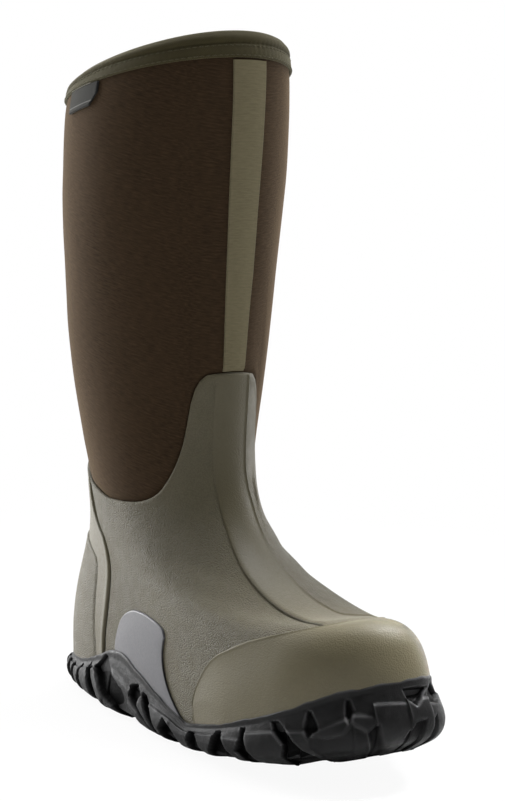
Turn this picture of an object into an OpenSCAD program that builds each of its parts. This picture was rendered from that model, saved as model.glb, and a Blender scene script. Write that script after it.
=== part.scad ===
// Insulated rubber-bottomed hunting boot, right foot.
// Z is up, X points to the toe, +Y is the inner (medial) side.
// Every shaped piece is laid out on one last surface: u runs from the sole edge (0)
// to the collar (12), v runs in degrees from the heel seam (0) to the toe and shin
// centre line (+-180), negative on the outer side. Layers are offsets of that surface.

/* [Upper] */
// Thickness of the rubber foot shell
rubber_t = 2.2; // [1.6:0.1:2.2]
// Thickness of the neoprene in the foot
foot_foam_t = 3.8; // [3:0.1:3.8]
// Thickness of the neoprene in the shaft
shaft_foam_t = 4.4; // [3.4:0.1:4.4]
// Thickness of the brushed lining
lining_t = 1.1; // [0.8:0.1:1.1]
// Raised height of the moulded toe, heel and arch overlays
overlay_t = 1.2; // [0.8:0.1:1.4]

/* [Trim] */
// Half width of the front seam tape, in degrees of v at the shin
tape_half = 10.5; // [8:0.5:13]
// Thickness of the seam tapes
tape_t = 1.0; // [0.6:0.1:1.2]
// Thickness of the collar binding
binding_t = 1.2; // [0.8:0.1:1.4]
// Thickness of the blank label tag
tag_t = 1.1; // [0.8:0.1:1.4]

/* [Sole] */
// Depth of the tread grooves
tread_depth = 4.2; // [3:0.2:4.4]
// How far the sidewall lugs stand out past the grooves
lug_relief = 3.2; // [2:0.2:4]
// Lift of the sole under the tip of the toe
toe_lift = 25; // [22:1:27]
// Thickness of the removable footbed foam
footbed_t = 4.4; // [3.5:0.1:5]

/* [Hidden] */

// the middle of the box around the boot, so that the origin is under it
mid_x = 147;
mid_y = -0.57;

// colours shared by several pieces
LINING_COLOR = [0.35, 0.33, 0.3];
BOARD_COLOR = [0.75, 0.73, 0.68];
HEEL_COLOR = [0.44, 0.43, 0.38];
WING_COLOR = [0.44, 0.44, 0.45];
TAPE_COLOR = [0.36, 0.34, 0.27];
THREAD_COLOR = [0.3, 0.28, 0.2];

// offsets of the layer faces from the last surface, outwards positive
bootie_out = -rubber_t - 0.2;
bootie_in = bootie_out - foot_foam_t;
foot_lining_out = bootie_in - 1.75;
shaft_in = -1 - shaft_foam_t;
shaft_lining_out = shaft_in - 0.25;
shaft_lining_in = shaft_lining_out - lining_t;
// how far the sleeve starts below the last surface, just above the shell
sleeve_dip = 1.1;

// heights on the last, in u
ankle_u = 5.2;
tape_top = 11.18;
binding_low = 11.24;

// ---- the last ----
// thirteen tilted sections, sole to collar: heel x, heel z, front x, front z
PROFILE = [
  [-4, 11, 298, 11], [-6, 38, 292, 36], [-2, 65, 280, 65], [6, 87, 261, 82],
  [11, 109, 222, 81], [11, 129, 176, 97], [11, 144, 142, 129], [8, 166, 137, 174],
  [1, 200, 140, 222], [-3, 251, 140, 279], [-6, 308, 143, 337], [-5, 361, 144, 395],
  [-1, 363, 139, 409]];
// half widths of each section at seven stations, every 30 degrees from heel to front
WIDTHS = [
  [59, 54, 44, 45, 56, 64, 77], [62, 57, 44, 44, 56, 66, 76], [59, 55, 44, 45, 55, 60, 65],
  [54, 51, 45, 48, 55, 54, 54], [50, 49, 46, 50, 52, 48, 43], [47, 47, 45, 48, 48, 42, 38],
  [46, 46, 45, 46, 43, 39, 35], [47, 49, 50, 50, 48, 43, 38], [52, 56, 58, 57, 55, 50, 44],
  [57, 61, 62, 62, 60, 56, 52], [63, 65, 67, 67, 66, 63, 58], [64, 65, 66, 65, 64, 63, 60],
  [63, 63, 62, 61, 59, 59, 59]];
// share of the toe lift, and of the sideways swing of the foot, each section takes
LIFT = [1, 2.04, 1.72, 0.92, 0.2, 0, 0, 0, 0, 0, 0, 0, 0];
SWING = [1, 0.95, 0.75, 0.4, 0.1, 0, 0, 0, 0, 0, 0, 0, 0];
TOP = len(PROFILE) - 1;
SECTIONS = [for (i = [0:TOP]) concat(PROFILE[i], WIDTHS[i], [LIFT[i] * toe_lift, SWING[i]])];
// columns of SECTIONS
HEEL_X = 0;
HEEL_Z = 1;
FRONT_X = 2;
FRONT_Z = 3;
WIDTH = 4;
RISE = 11;
SWAY = 12;
station_pitch = 30;

function clip(x, low, high) = min(high, max(low, x));
function mix(a, b, t) = a + (b - a) * t;
// smooth step from 0 to 1
function ease(t) = let (c = clip(t, 0, 1)) c * c * (3 - 2 * c);
function unit(q) = q / norm(q);
// n + 1 even steps from a to b
function span(a, b, n) = [for (i = [0:n]) mix(a, b, i / n)];
// weights of four neighbouring knots of a uniform cubic B-spline
function spline_w(t) = [(1 - t) ^ 3 / 6, (3 * t ^ 3 - 6 * t ^ 2 + 4) / 6,
  (-3 * t ^ 3 + 3 * t ^ 2 + 3 * t + 1) / 6, t ^ 3 / 6];
// a row of SECTIONS, extended past both ends
function knot(k) = k < 0 ? 2 * SECTIONS[0] - SECTIONS[1]
  : k > TOP ? 2 * SECTIONS[TOP] - SECTIONS[TOP - 1]
  : SECTIONS[k];
function section(u) = let (pos = clip(u, 0, TOP), i = min(TOP - 1, floor(pos)),
    w = spline_w(pos - i))
  w[0] * knot(i - 1) + w[1] * knot(i) + w[2] * knot(i + 1) + w[3] * knot(i + 2);
// width column of a station, mirrored past the heel and the front
function station(k) = WIDTH + (k < 0 ? -k : k > 6 ? 12 - k : k);
// sideways shift of the centre line: outwards at the waist, inwards at the toe
function swing(x) = -5.5 * sin(180 * clip((x - 10) / 230, 0, 1))
  + 16.5 * clip((x - 236) / 62, 0, 1) ^ 2;
// extra width on the inner side at the ball of the foot
function ball(x) = 5 * ease(1 - abs(x - 205) / 80);
function toe_rise(x) = clip((x - 185) / 115, 0, 1.05) ^ 2;
function ground(x) = toe_lift * toe_rise(x);
// v brought into the range -180 to 180
function turn(v) = v - 360 * round(v / 360);

// a point of the last surface
function last(u, v) = let (
    row = section(u), angle = turn(v), away = abs(angle), side = angle < 0 ? -1 : 1,
    pos = min(5.9999, away / station_pitch), i = floor(pos), w = spline_w(pos - i),
    half = w[0] * row[station(i - 1)] + w[1] * row[station(i)]
      + w[2] * row[station(i + 1)] + w[3] * row[station(i + 2)],
    forward = (1 - cos(away)) / 2, x = mix(row[HEEL_X], row[FRONT_X], forward))
  [x,
   swing(x) * row[SWAY] + side * sin(away) * (half + (side > 0 ? ball(x) * row[SWAY] : 0)),
   mix(row[HEEL_Z], row[FRONT_Z], forward) + row[RISE] * toe_rise(x)];
function normal(u, v) = unit(cross(last(min(TOP, u + 0.03), v) - last(max(0, u - 0.03), v),
  last(u, v + 0.3) - last(u, v - 0.3)));
// a point at a distance out from the last surface, raised by up
function at(u, v, out = 0, up = 0) = last(u, v) + out * normal(min(u, 11.2), v) + [0, 0, up];
// outline point at section u, moved outwards in plan, at a height over the tread
function rim(u, v, out, height) = let (p = last(u, v), n = normal(u, v),
    dir = unit([n[0], n[1]]), x = p[0] + out * dir[0])
  [x, p[1] + out * dir[1], ground(x) + height];

// ---- design lines on the last: [v, u] pairs, the same on both sides ----
TOPLINE = [[0, 6.35], [20, 6.25], [40, 6], [53, 5.82], [64, 5.7], [82, 5.67], [94, 5.75],
  [106, 5.85], [114, 5.94], [124, 6.12], [131, 6.33], [138, 6.6], [143.5, 6.9], [147, 7.22],
  [150, 7.52], [154.5, 7.67], [160, 7.75], [180, 7.78]];
SOLE_LINE = [[0, 0.2], [30, 0.33], [47, 0.46], [57, 0.68], [62, 0.83], [68, 1.04], [72, 1.1],
  [77, 1.05], [81, 0.92], [85, 0.8], [92, 0.58], [98, 0.4], [103, 0.27], [107, 0.34],
  [119, 0.53], [127, 0.61], [141, 0.69], [150, 0.72], [161, 0.69], [180, 0.65]];
CAP_LINE = [[105, 0.6], [106, 0.95], [108.5, 1.3], [112, 1.65], [115.5, 1.88], [120, 2.06],
  [130, 2.36], [141, 2.52], [158, 2.65], [180, 2.75]];
function topline(v) = lookup(abs(turn(v)), TOPLINE);
function sole_line(v) = lookup(abs(turn(v)), SOLE_LINE);
function cap_line(v) = lookup(abs(turn(v)), CAP_LINE);

// columns of v, right round and down one side
v_step = 7.5;
RING = [for (j = [0:47]) j * v_step - 180];
HALF_RING = [for (i = [0:24]) i * v_step];
// rows of u up to the ankle, then on to the topline
FOOT_ROWS = [0, 0.35, 0.8, 1.3, 1.8, 2.3, 2.8, 3.3, 3.9, 4.5, ankle_u];
function rows_above(low) = [for (u = FOOT_ROWS) if (u > low) u];
function ankle_rows(v, count) = [for (k = [1:count]) mix(ankle_u, topline(v), k / 4)];
// one grid column: [u, v] pairs at a constant v
function column(v, rows) = [for (u = rows) [u, v]];

// ---- builders ----
function quad(a, b, c, d) = [[a, b, c], [a, c, d]];
// an offset is a number or a function of u and v
function offset_at(face, u, v) = is_num(face) ? face : face(u, v);

// closed skin between an outer and an inner offset of a grid of [u, v] columns;
// ring = closed in v
module skin(grid, outer, inner, ring = false) {
  n = len(grid);
  m = len(grid[0]) - 1;
  points = [for (face = [outer, inner], col = grid, q = col)
    at(q[0], q[1], offset_at(face, q[0], q[1]))];
  function o(j, i) = (j % n) * (m + 1) + i;
  function e(j, i) = n * (m + 1) + o(j, i);
  end = n - 1;
  last_j = ring ? n - 1 : n - 2;
  polyhedron(points, concat(
    [for (j = [0:last_j], i = [0:m - 1]) each
      quad(o(j, i), o(j + 1, i), o(j + 1, i + 1), o(j, i + 1))],
    [for (j = [0:last_j], i = [0:m - 1]) each
      quad(e(j, i), e(j, i + 1), e(j + 1, i + 1), e(j + 1, i))],
    [for (j = [0:last_j]) each quad(o(j + 1, 0), o(j, 0), e(j, 0), e(j + 1, 0))],
    [for (j = [0:last_j]) each quad(o(j, m), o(j + 1, m), e(j + 1, m), e(j, m))],
    ring ? [] : [for (i = [0:m - 1]) each quad(o(0, i), o(0, i + 1), e(0, i + 1), e(0, i))],
    ring ? [] : [for (i = [0:m - 1]) each
      quad(o(end, i + 1), o(end, i), e(end, i), e(end, i + 1))]), convexity = 10);
}

// closed cross sections joined right round the boot; each lists its points, outside going up
module hoop(loops) {
  n = len(loops);
  m = len(loops[0]);
  function o(j, i) = (j % n) * m + i % m;
  polyhedron([for (loop = loops) each loop],
    [for (j = [0:n - 1], i = [0:m - 1]) each
      quad(o(j, i), o(j + 1, i), o(j + 1, i + 1), o(j, i + 1))],
    convexity = 10);
}

// solid plate under the foot. angles run 0..180; wall(v) lists the side from the top edge
// to the bottom edge; top_z and bottom_z give the faces at x, y and cross row i
module plate(angles, cross_n, wall, top_z, bottom_z) {
  n = len(angles) - 1;
  cols = concat([for (i = [n:-1:0]) -angles[i]], [for (i = [1:n - 1]) angles[i]]);
  walls = [for (v = cols) wall(v)];
  m = len(walls[0]);
  count = len(cols);
  function col(j) = (j + count) % count;
  function w(j, r) = col(j) * m + r;
  function inner(z, r) = [for (i = [1:n - 1], k = [1:cross_n - 1])
    let (a = walls[col(n - i)][r], b = walls[col(n + i)][r], p = mix(a, b, k / cross_n))
    [p[0], p[1], z(p[0], p[1], i)]];
  base = count * m;
  size = (n - 1) * (cross_n - 1);
  // index of cross point k in row i; layer 0 is the top and layer 1 the bottom
  function g(layer, r, i, k) = i == 0 || i == n || k == 0 ? w(n - i, r)
    : k == cross_n ? w(n + i, r)
    : base + layer * size + (i - 1) * (cross_n - 1) + k - 1;
  function cell(layer, r, i, k) =
    i == 0 ? [[g(layer, r, 0, 0), g(layer, r, 1, k + 1), g(layer, r, 1, k)]]
    : i == n - 1 ? [[g(layer, r, i, k), g(layer, r, i, k + 1), g(layer, r, n, 0)]]
    : quad(g(layer, r, i, k), g(layer, r, i, k + 1),
        g(layer, r, i + 1, k + 1), g(layer, r, i + 1, k));
  function cells(layer, r) = [for (i = [0:n - 1], k = [0:cross_n - 1]) each
    cell(layer, r, i, k)];
  polyhedron(
    concat([for (q = walls) each q], inner(top_z, 0), inner(bottom_z, m - 1)),
    concat(cells(0, 0), [for (f = cells(1, m - 1)) [f[0], f[2], f[1]]],
      [for (j = [0:count - 1], r = [0:m - 2]) each
        quad(w(j, r), w(j, r + 1), w(j + 1, r + 1), w(j + 1, r))]), convexity = 10);
}

// plate between two heights over the tread; top(x, y) may shape its upper face
module slab(u, out, low, high, cross_n = 4, top = undef) {
  plate(HALF_RING, cross_n, function(v) [rim(u, v, out, high), rim(u, v, out, low)],
    function(x, y, i) ground(x) + (is_undef(top) ? high : top(x, y)),
    function(x, y, i) ground(x) + low);
}

module placed() translate([-mid_x, -mid_y, 0]) children();

// ---- sole unit ----
// angles of the cuts between the sidewall lugs
CUTS = [9, 19, 29, 38, 47, 56, 66, 78, 88, 97, 105.5, 114, 122.5, 131, 140, 149.5, 160, 171];
// half width of a cut at its mouth, in degrees, and the share of it that is full depth
cut_half = 2.4;
cut_floor = 0.45;
SOLE_V = concat([0],
  [for (c = CUTS, k = [-1, -cut_floor, cut_floor, 1]) c + k * cut_half], [180]);
function in_cut(v) = max([for (c = CUTS) abs(abs(v) - c) < cut_half * 0.5 ? 1 : 0]);
outsole_top = 6;
function outsole_wall(v) = let (cut = in_cut(v), edge = sole_line(v),
    rise = toe_rise(last(0, v)[0]), relief = cut * lug_relief)
  [rim(0, v, 0.4, outsole_top),
   // inside of the lip, up to the sole line
   at(0, v, 0.4), at(edge * 0.5, v, 0.45), at(edge, v, 0.4),
   // outside of the lip
   at(edge, v, 2.4), at(edge * 0.6, v, 4.6 - relief * 0.5),
   // lugs, tapering in to the tread
   rim(0, v, 6 - relief, 11 + 4 * rise), rim(0, v, 3.4 - relief, 4),
   rim(0, v, -4.5 - 3.5 * rise - relief * 0.5, cut * tread_depth)];
module outsole() color([0.16, 0.16, 0.16]) placed()
  plate(SOLE_V, 4, function(v) outsole_wall(v),
    function(x, y, i) ground(x) + outsole_top,
    function(x, y, i) ground(x) + in_cut(SOLE_V[i]) * tread_depth);

midsole_top = 10.9;
// height of the midsole's upper face, with a recess around the shank
function midsole_height(x, y) = x > 46 && x < 164 && abs(y - swing(x)) < 20 ? 9 : midsole_top;
module midsole() color([0.25, 0.25, 0.26]) placed()
  slab(0, -0.5, low = outsole_top + 0.1, high = midsole_top, cross_n = 10,
    top = function(x, y) midsole_height(x, y));

// flat bar with round ends
shank_length = 78;
shank_r = 7.5;
module arch_shank() color([0.6, 0.62, 0.65]) placed()
  translate([64, -3, 9.25]) rotate([0, 0, -2]) linear_extrude(1.3) union() {
    translate([0, -shank_r]) square([shank_length, 2 * shank_r]);
    circle(r = shank_r, $fn = 48);
    translate([shank_length, 0]) circle(r = shank_r, $fn = 48);
  }
module insole_board() color([0.55, 0.45, 0.32]) placed()
  slab(0, -2.6, low = midsole_top + 0.15, high = 12.5);
module bootie_bottom() color([0.2, 0.17, 0.14]) placed()
  slab(0.15, -6.9, low = 12.7, high = 16.2);

// ---- foot layers ----
module foot_bootie() color([0.2, 0.16, 0.13]) placed()
  skin([for (v = RING) column(v, concat([0.1], rows_above(0.1)))],
    bootie_out, bootie_in, ring = true);
module foot_lining() color(LINING_COLOR) placed()
  skin([for (v = RING) column(v, concat([0.24], rows_above(0.4)))],
    foot_lining_out, foot_lining_out - lining_t, ring = true);
// the stiffener and the puff lie between the bootie and its lining
stiffener_half = 60;
module heel_stiffener() color(BOARD_COLOR) placed()
  skin([for (v = span(-stiffener_half, stiffener_half, 13))
      column(v, span(0.4, 3.6 - 1.2 * (v / stiffener_half) ^ 2, 6))],
    bootie_in - 0.6, bootie_in - 1.3);
puff_half = 62;
module toe_puff() color(BOARD_COLOR) placed()
  skin([for (v = span(180 - puff_half, 180 + puff_half, 16))
      column(v, span(0.5, 2.35 - 1.1 * ((v - 180) / puff_half) ^ 2, 7))],
    bootie_in - 0.75, bootie_in - 1.35);
module rubber_shell() color([0.43, 0.42, 0.37]) placed()
  skin([for (v = RING) column(v, concat(FOOT_ROWS, ankle_rows(v, 4)))],
    0, -rubber_t, ring = true);

// ---- moulded overlays on the shell ----
// gaps in u to the sole line and to the topline
sole_gap = 0.09;
top_gap = 0.12;
module overlay(grid, base = 0.5) skin(grid, base + overlay_t, base);

cap_half = 74.5;
module toe_cap() color([0.39, 0.37, 0.3]) placed()
  overlay([for (v = span(180 - cap_half, 180 + cap_half, 22))
    let (low = sole_line(v) + sole_gap)
    column(v, span(low, max(low + 0.08, cap_line(v)), 6))]);

// half width in v of the heel overlay at each u
HEEL_HALF = [[0, 64], [4, 64.5], [4.6, 60], [5.2, 57], [7, 54]];
module heel_overlay() color(HEEL_COLOR) placed()
  overlay([for (s = span(-1, 1, 16))
    let (low = sole_line(s * 64) + sole_gap, high = topline(s * 55) - top_gap)
    [for (u = span(low, high, 9)) [u, s * lookup(u, HEEL_HALF)]]]);

// second layer on the heel overlay, narrower towards its top
cup_half = 56;
module heel_cup_panel() color(HEEL_COLOR) placed()
  overlay([for (s = span(-1, 1, 14))
    let (low = sole_line(s * cup_half) + 0.1, high = 3.9 - 0.9 * s ^ 4)
    [for (u = span(low, high, 7)) [u, s * (cup_half - 12 * ease((u - 2.4) / 1.4))]]],
    base = 1.2 + overlay_t);

// top edge of an arch wing: [s, u], s running from its rear edge (0) to its front edge (1)
WING_TOP = [[0, 1.55], [0.25, 2.02], [0.5, 2.26], [0.75, 2.33], [1, 2.1]];
// one column of an arch wing; the front edge is hollowed towards the heel
function wing_column(side, s) = let (
    low_v = mix(70, 102, s), low_u = sole_line(low_v) + sole_gap,
    high_v = mix(72.5, 94.5, s), high_u = lookup(s, WING_TOP))
  [for (t = span(0, 1, 6))
    [mix(low_u, high_u, t), side * (mix(low_v, high_v, t) - 20 * s ^ 2 * t * (1 - t))]];
// side is -1 for the outer and 1 for the inner wing; v always increases along the grid
module arch_wing(side)
  overlay([for (s = side < 0 ? span(1, 0, 10) : span(0, 1, 10)) wing_column(side, s)]);
module outer_arch_wing() color(WING_COLOR) placed() arch_wing(-1);
module inner_arch_wing() color(WING_COLOR) placed() arch_wing(1);

module instep_band() color([0.35, 0.33, 0.26]) placed()
  overlay([for (v = [163, 165, 172.5, 180, 187.5, 195, 197])
    column(v, concat([2.92], rows_above(3.2), ankle_rows(v, 3), [topline(v) - top_gap]))]);

// ---- shaft ----
// outer face of the sleeve: tucked under the shell, then rising to the last surface
function sleeve_out(u, v) = let (above = u - topline(v))
  above < 0.06 ? bootie_out : -sleeve_dip * (1 - ease((above - 0.2) / 1.4));
function tuck_rows(v) = concat([ankle_u + 0.05], ankle_rows(v, 4));
function calf_rows(v) = concat(span(topline(v) + 0.24, binding_low, 5), [11.55, 11.84]);
module shaft_sleeve() color([0.2, 0.16, 0.12]) placed()
  skin([for (v = RING) column(v, concat(tuck_rows(v), [topline(v) + 0.05], calf_rows(v)))],
    function(u, v) sleeve_out(u, v), shaft_in, ring = true);
module shaft_lining() color(LINING_COLOR) placed()
  skin([for (v = RING) column(v, concat(tuck_rows(v), calf_rows(v)))],
    shaft_lining_out, shaft_lining_in, ring = true);

rear_tape_half = 9;
function tape_in(u, v) = max(-sleeve_dip, sleeve_out(u, v)) + 0.4;
module seam_tape(centre, half)
  skin([for (v = span(centre - half, centre + half, 4))
      column(v, concat([topline(v) + 0.1], span(topline(v) + 0.24, tape_top, 8)))],
    function(u, v) tape_in(u, v) + tape_t, function(u, v) tape_in(u, v));
module front_seam_tape() color(TAPE_COLOR) placed() seam_tape(180, tape_half);
module rear_seam_tape() color(TAPE_COLOR) placed() seam_tape(0, rear_tape_half);

// cross section folded over the collar, standing higher at the rear
function binding_loop(v) = let (b = binding_t, inside = shaft_lining_in - 0.7,
    rear = ease(1.2 - abs(turn(v)) / 110), crest = 1 + 1.6 * rear)
  // outer face, with a small step above the stitching
  [at(binding_low, v, 0.4 + b * 0.6), at(11.6, v, 0.4 + b), at(11.66, v, 0.1 + b * 0.9),
   at(11.84, v, 0.6 + b), at(12, v, 0.4 + b),
   // over the crest and down the inside
   at(12, v, -1, crest), at(12, v, inside + 1, crest), at(12, v, inside - b),
   at(11.55, v, inside - b),
   // back round the collar edge
   at(11.55, v, inside), at(11.9, v, inside, rear), at(11.9, v, 0.5, rear),
   at(11.55, v, 0.5), at(binding_low, v, 0.4)];
module collar_binding() color([0.23, 0.21, 0.14]) placed()
  hoop([for (v = RING) binding_loop(v)]);
// thin thread ridge right round the collar
module stitch_hoop(u, out)
  hoop([for (v = RING) [at(u, v, out), at(u + 0.02, v, out + 0.4),
    at(u + 0.045, v, out), at(u + 0.02, v, out - 0.2)]]);
module binding_stitch_upper() color(THREAD_COLOR) placed() stitch_hoop(11.5, 0.85 + binding_t);
module binding_stitch_lower() color(THREAD_COLOR) placed() stitch_hoop(11.3, 0.8 + binding_t);

// ---- loose pieces ----
footbed_low = 16.5;
footbed_top = footbed_low + footbed_t;
module footbed() color([0.3, 0.32, 0.3]) placed()
  slab(0.25, -11.2, low = footbed_low, high = footbed_top);
module footbed_cover() color([0.4, 0.36, 0.3]) placed()
  slab(0.25, -11.2, low = footbed_top + 0.1, high = footbed_top + 1.1);

// tag on the outer side, just under the binding
tag_base = 0.6;
function tag_low(v) = 10.8 + 0.004 * (v + 74) + 0.12 * ease((-93 - v) / 6);
module label_tag() color([0.08, 0.08, 0.08]) placed()
  skin([for (v = span(-99, -75.5, 6)) column(v, span(tag_low(v), 11.13, 3))],
    tag_base + tag_t, tag_base);
// three thread stitches across the top of the tag
module tag_stitch() color([0.5, 0.48, 0.4]) placed()
  for (v = [-91.5, -85.25, -79])
    let (start = at(11.09, v - 2, 1.15 + tag_t), run = at(11.09, v + 2, 1.15 + tag_t) - start,
      length = norm(run))
    translate(start) rotate([0, acos(run[2] / length), atan2(run[1], run[0])])
      cylinder(r = 0.3, h = length, $fn = 24);

outsole();
midsole();
arch_shank();
insole_board();
bootie_bottom();
foot_bootie();
foot_lining();
heel_stiffener();
toe_puff();
rubber_shell();
toe_cap();
heel_overlay();
heel_cup_panel();
outer_arch_wing();
inner_arch_wing();
instep_band();
shaft_sleeve();
shaft_lining();
front_seam_tape();
rear_seam_tape();
collar_binding();
binding_stitch_upper();
binding_stitch_lower();
footbed();
footbed_cover();
label_tag();
tag_stitch();
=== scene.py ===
"""A rubber-footed neoprene boot, standing on a studio floor.

Shapes are designed in millimetres on a last: X runs from heel to toe, +Y is the inner side and Z is
up. metres() moves them to the scene's frame, with the middle of the boot at the origin.

A place on the last is (u, v). u counts the rows of the station table, from 0 at the sole to 12 at
the collar. v is the angle round the last in degrees: 0 at the heel, 180 at the toe or shin, negative
on the outer side. A third number is the distance out from the surface.
"""
import bpy
import math
import numpy as np
from mathutils import Matrix, Vector


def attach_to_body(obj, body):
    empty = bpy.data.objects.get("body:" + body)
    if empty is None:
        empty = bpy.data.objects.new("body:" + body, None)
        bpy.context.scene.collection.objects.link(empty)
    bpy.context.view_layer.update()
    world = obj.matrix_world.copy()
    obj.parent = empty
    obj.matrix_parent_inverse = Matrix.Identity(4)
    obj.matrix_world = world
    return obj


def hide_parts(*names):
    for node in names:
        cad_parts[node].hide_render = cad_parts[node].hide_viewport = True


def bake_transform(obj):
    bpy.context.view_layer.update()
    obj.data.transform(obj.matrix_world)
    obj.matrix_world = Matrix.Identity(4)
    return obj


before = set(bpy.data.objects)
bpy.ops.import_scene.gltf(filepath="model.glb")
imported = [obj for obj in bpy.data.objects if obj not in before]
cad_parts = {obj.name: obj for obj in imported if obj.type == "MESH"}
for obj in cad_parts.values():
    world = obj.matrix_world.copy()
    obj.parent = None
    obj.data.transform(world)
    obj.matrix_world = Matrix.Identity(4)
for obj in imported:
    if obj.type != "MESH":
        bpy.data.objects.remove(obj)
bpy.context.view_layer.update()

# ---------------------------------------------------------------------------
# the last
# ---------------------------------------------------------------------------
MIDDLE = np.array([147.0, -0.57, 0.0])   # the scene's origin on the last
TOE_SPRING = 25.0                        # rise of the ground line at the toe
TOP_ROW = 12

# one row per station: rear x, rear z, front x, front z
PROFILE = np.array([
    [-4, 11, 298, 11], [-6, 38, 292, 36], [-2, 65, 280, 65], [6, 87, 261, 82],
    [11, 109, 222, 81], [11, 129, 176, 97], [11, 144, 142, 129], [8, 166, 137, 174],
    [1, 200, 140, 222], [-3, 251, 140, 279], [-6, 308, 143, 337], [-5, 361, 144, 395],
    [-1, 363, 139, 409]], float)
# one row per station: half-width control at 0, 30 ... 180 degrees
WIDTHS = np.array([
    [59, 54, 44, 45, 56, 64, 77], [62, 57, 44, 44, 56, 66, 76], [59, 55, 44, 45, 55, 60, 65],
    [54, 51, 45, 48, 55, 54, 54], [50, 49, 46, 50, 52, 48, 43], [47, 47, 45, 48, 48, 42, 38],
    [46, 46, 45, 46, 43, 39, 35], [47, 49, 50, 50, 48, 43, 38], [52, 56, 58, 57, 55, 50, 44],
    [57, 61, 62, 62, 60, 56, 52], [63, 65, 67, 67, 66, 63, 58], [64, 65, 66, 65, 64, 63, 60],
    [63, 63, 62, 61, 59, 59, 59]], float)
# per station: share of the toe spring, and share of the sideways swing
LIFT = np.array([1, 2.04, 1.72, 0.92, 0.2, 0, 0, 0, 0, 0, 0, 0, 0]) * TOE_SPRING
SWING = np.array([1, 0.95, 0.75, 0.4, 0.1, 0, 0, 0, 0, 0, 0, 0, 0])
STATIONS = np.column_stack([PROFILE, WIDTHS, LIFT, SWING])
# one more station beyond each end, for the spline
STATIONS = np.concatenate([[2 * STATIONS[0] - STATIONS[1]], STATIONS,
                           [2 * STATIONS[-1] - STATIONS[-2]]])


def ease(t):
    t = np.clip(t, 0.0, 1.0)
    return t * t * (3 - 2 * t)


def mix(a, b, t):
    return a + (b - a) * t


def bell(x, width):
    return np.exp(-(x / width) ** 2)


def rounded(distance, radius):
    """a quarter-round edge: 0 at the edge, 1 from the radius on"""
    q = np.clip(1 - distance / radius, 0, 1)
    return np.sqrt(np.clip(1 - q * q, 0, 1))


def unit(q):
    return q / np.maximum(np.linalg.norm(q, axis=-1, keepdims=True), 1e-12)


def turn(angle):
    return angle - 360.0 * np.round(angle / 360.0)


def metres(points):
    return (np.asarray(points, float) - MIDDLE) * 0.001


def spline_weights(t):
    """the four uniform B-spline weights"""
    return [(1 - t) ** 3 / 6, (3 * t ** 3 - 6 * t ** 2 + 4) / 6,
            (-3 * t ** 3 + 3 * t ** 2 + 3 * t + 1) / 6, t ** 3 / 6]


def swing(x):
    """sideways curve of the last's middle line"""
    return (-5.5 * np.sin(np.pi * np.clip((x - 10) / 230, 0, 1))
            + 16.5 * np.clip((x - 236) / 62, 0, 1) ** 2)


def ball(x):
    """extra width on the inner side, round the ball of the foot"""
    return 5 * ease(1 - np.abs(x - 205) / 80)


def toe_rise(x):
    return np.clip((x - 185) / 115, 0, 1.05) ** 2


def ground(x):
    return TOE_SPRING * toe_rise(x)


def last(u, v):
    u, v = np.broadcast_arrays(np.asarray(u, float), np.asarray(v, float))
    level = np.clip(u, 0, TOP_ROW - 1e-9)
    i = np.floor(level).astype(int)
    weights = spline_weights((level - i)[..., None])
    station = sum(weights[k] * STATIONS[i + k] for k in range(4))
    angle = turn(v)
    off_heel = np.abs(angle)
    side = np.where(angle < 0, -1.0, 1.0)
    step = np.minimum(5.9999, off_heel / 30)
    j = np.floor(step).astype(int)
    weights = spline_weights(step - j)
    widths = station[..., 4:11]
    widths = np.concatenate([widths[..., 1:2], widths, widths[..., 5:6]], -1)
    width = sum(weights[k] * np.take_along_axis(widths, (j + k)[..., None], -1)[..., 0]
                for k in range(4))
    forward = (1 - np.cos(np.radians(off_heel))) / 2
    bend = station[..., 12]
    x = mix(station[..., 0], station[..., 2], forward)
    width = width + np.where(side > 0, ball(x) * bend, 0)
    y = swing(x) * bend + side * np.sin(np.radians(off_heel)) * width
    z = mix(station[..., 1], station[..., 3], forward) + station[..., 11] * toe_rise(x)
    return np.stack([x, y, z], -1)


def normal(u, v):
    u = np.asarray(u, float)
    along = last(np.minimum(TOP_ROW, u + 0.03), v) - last(np.maximum(0, u - 0.03), v)
    return unit(np.cross(along, last(u, v + 0.3) - last(u, v - 0.3)))


def at(u, v, offset=0.0, rise=0.0):
    """a point out from the last, then raised; normals stop turning near the collar"""
    out = last(u, v) + np.asarray(offset)[..., None] * normal(np.minimum(u, 11.2), v)
    out[..., 2] += rise
    return out


def rim(u, v, offset, height):
    """a point moved level from the last, at a height over the ground line"""
    point = last(u, v)
    level = unit(normal(u, v)[..., :2])
    x = point[..., 0] + offset * level[..., 0]
    y = point[..., 1] + offset * level[..., 1]
    return np.stack([x, y, ground(x) + height], -1)


def mm_per_degree(u, v):
    return np.linalg.norm(last(u, v + 0.5) - last(u, v - 0.5), axis=-1)


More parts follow.
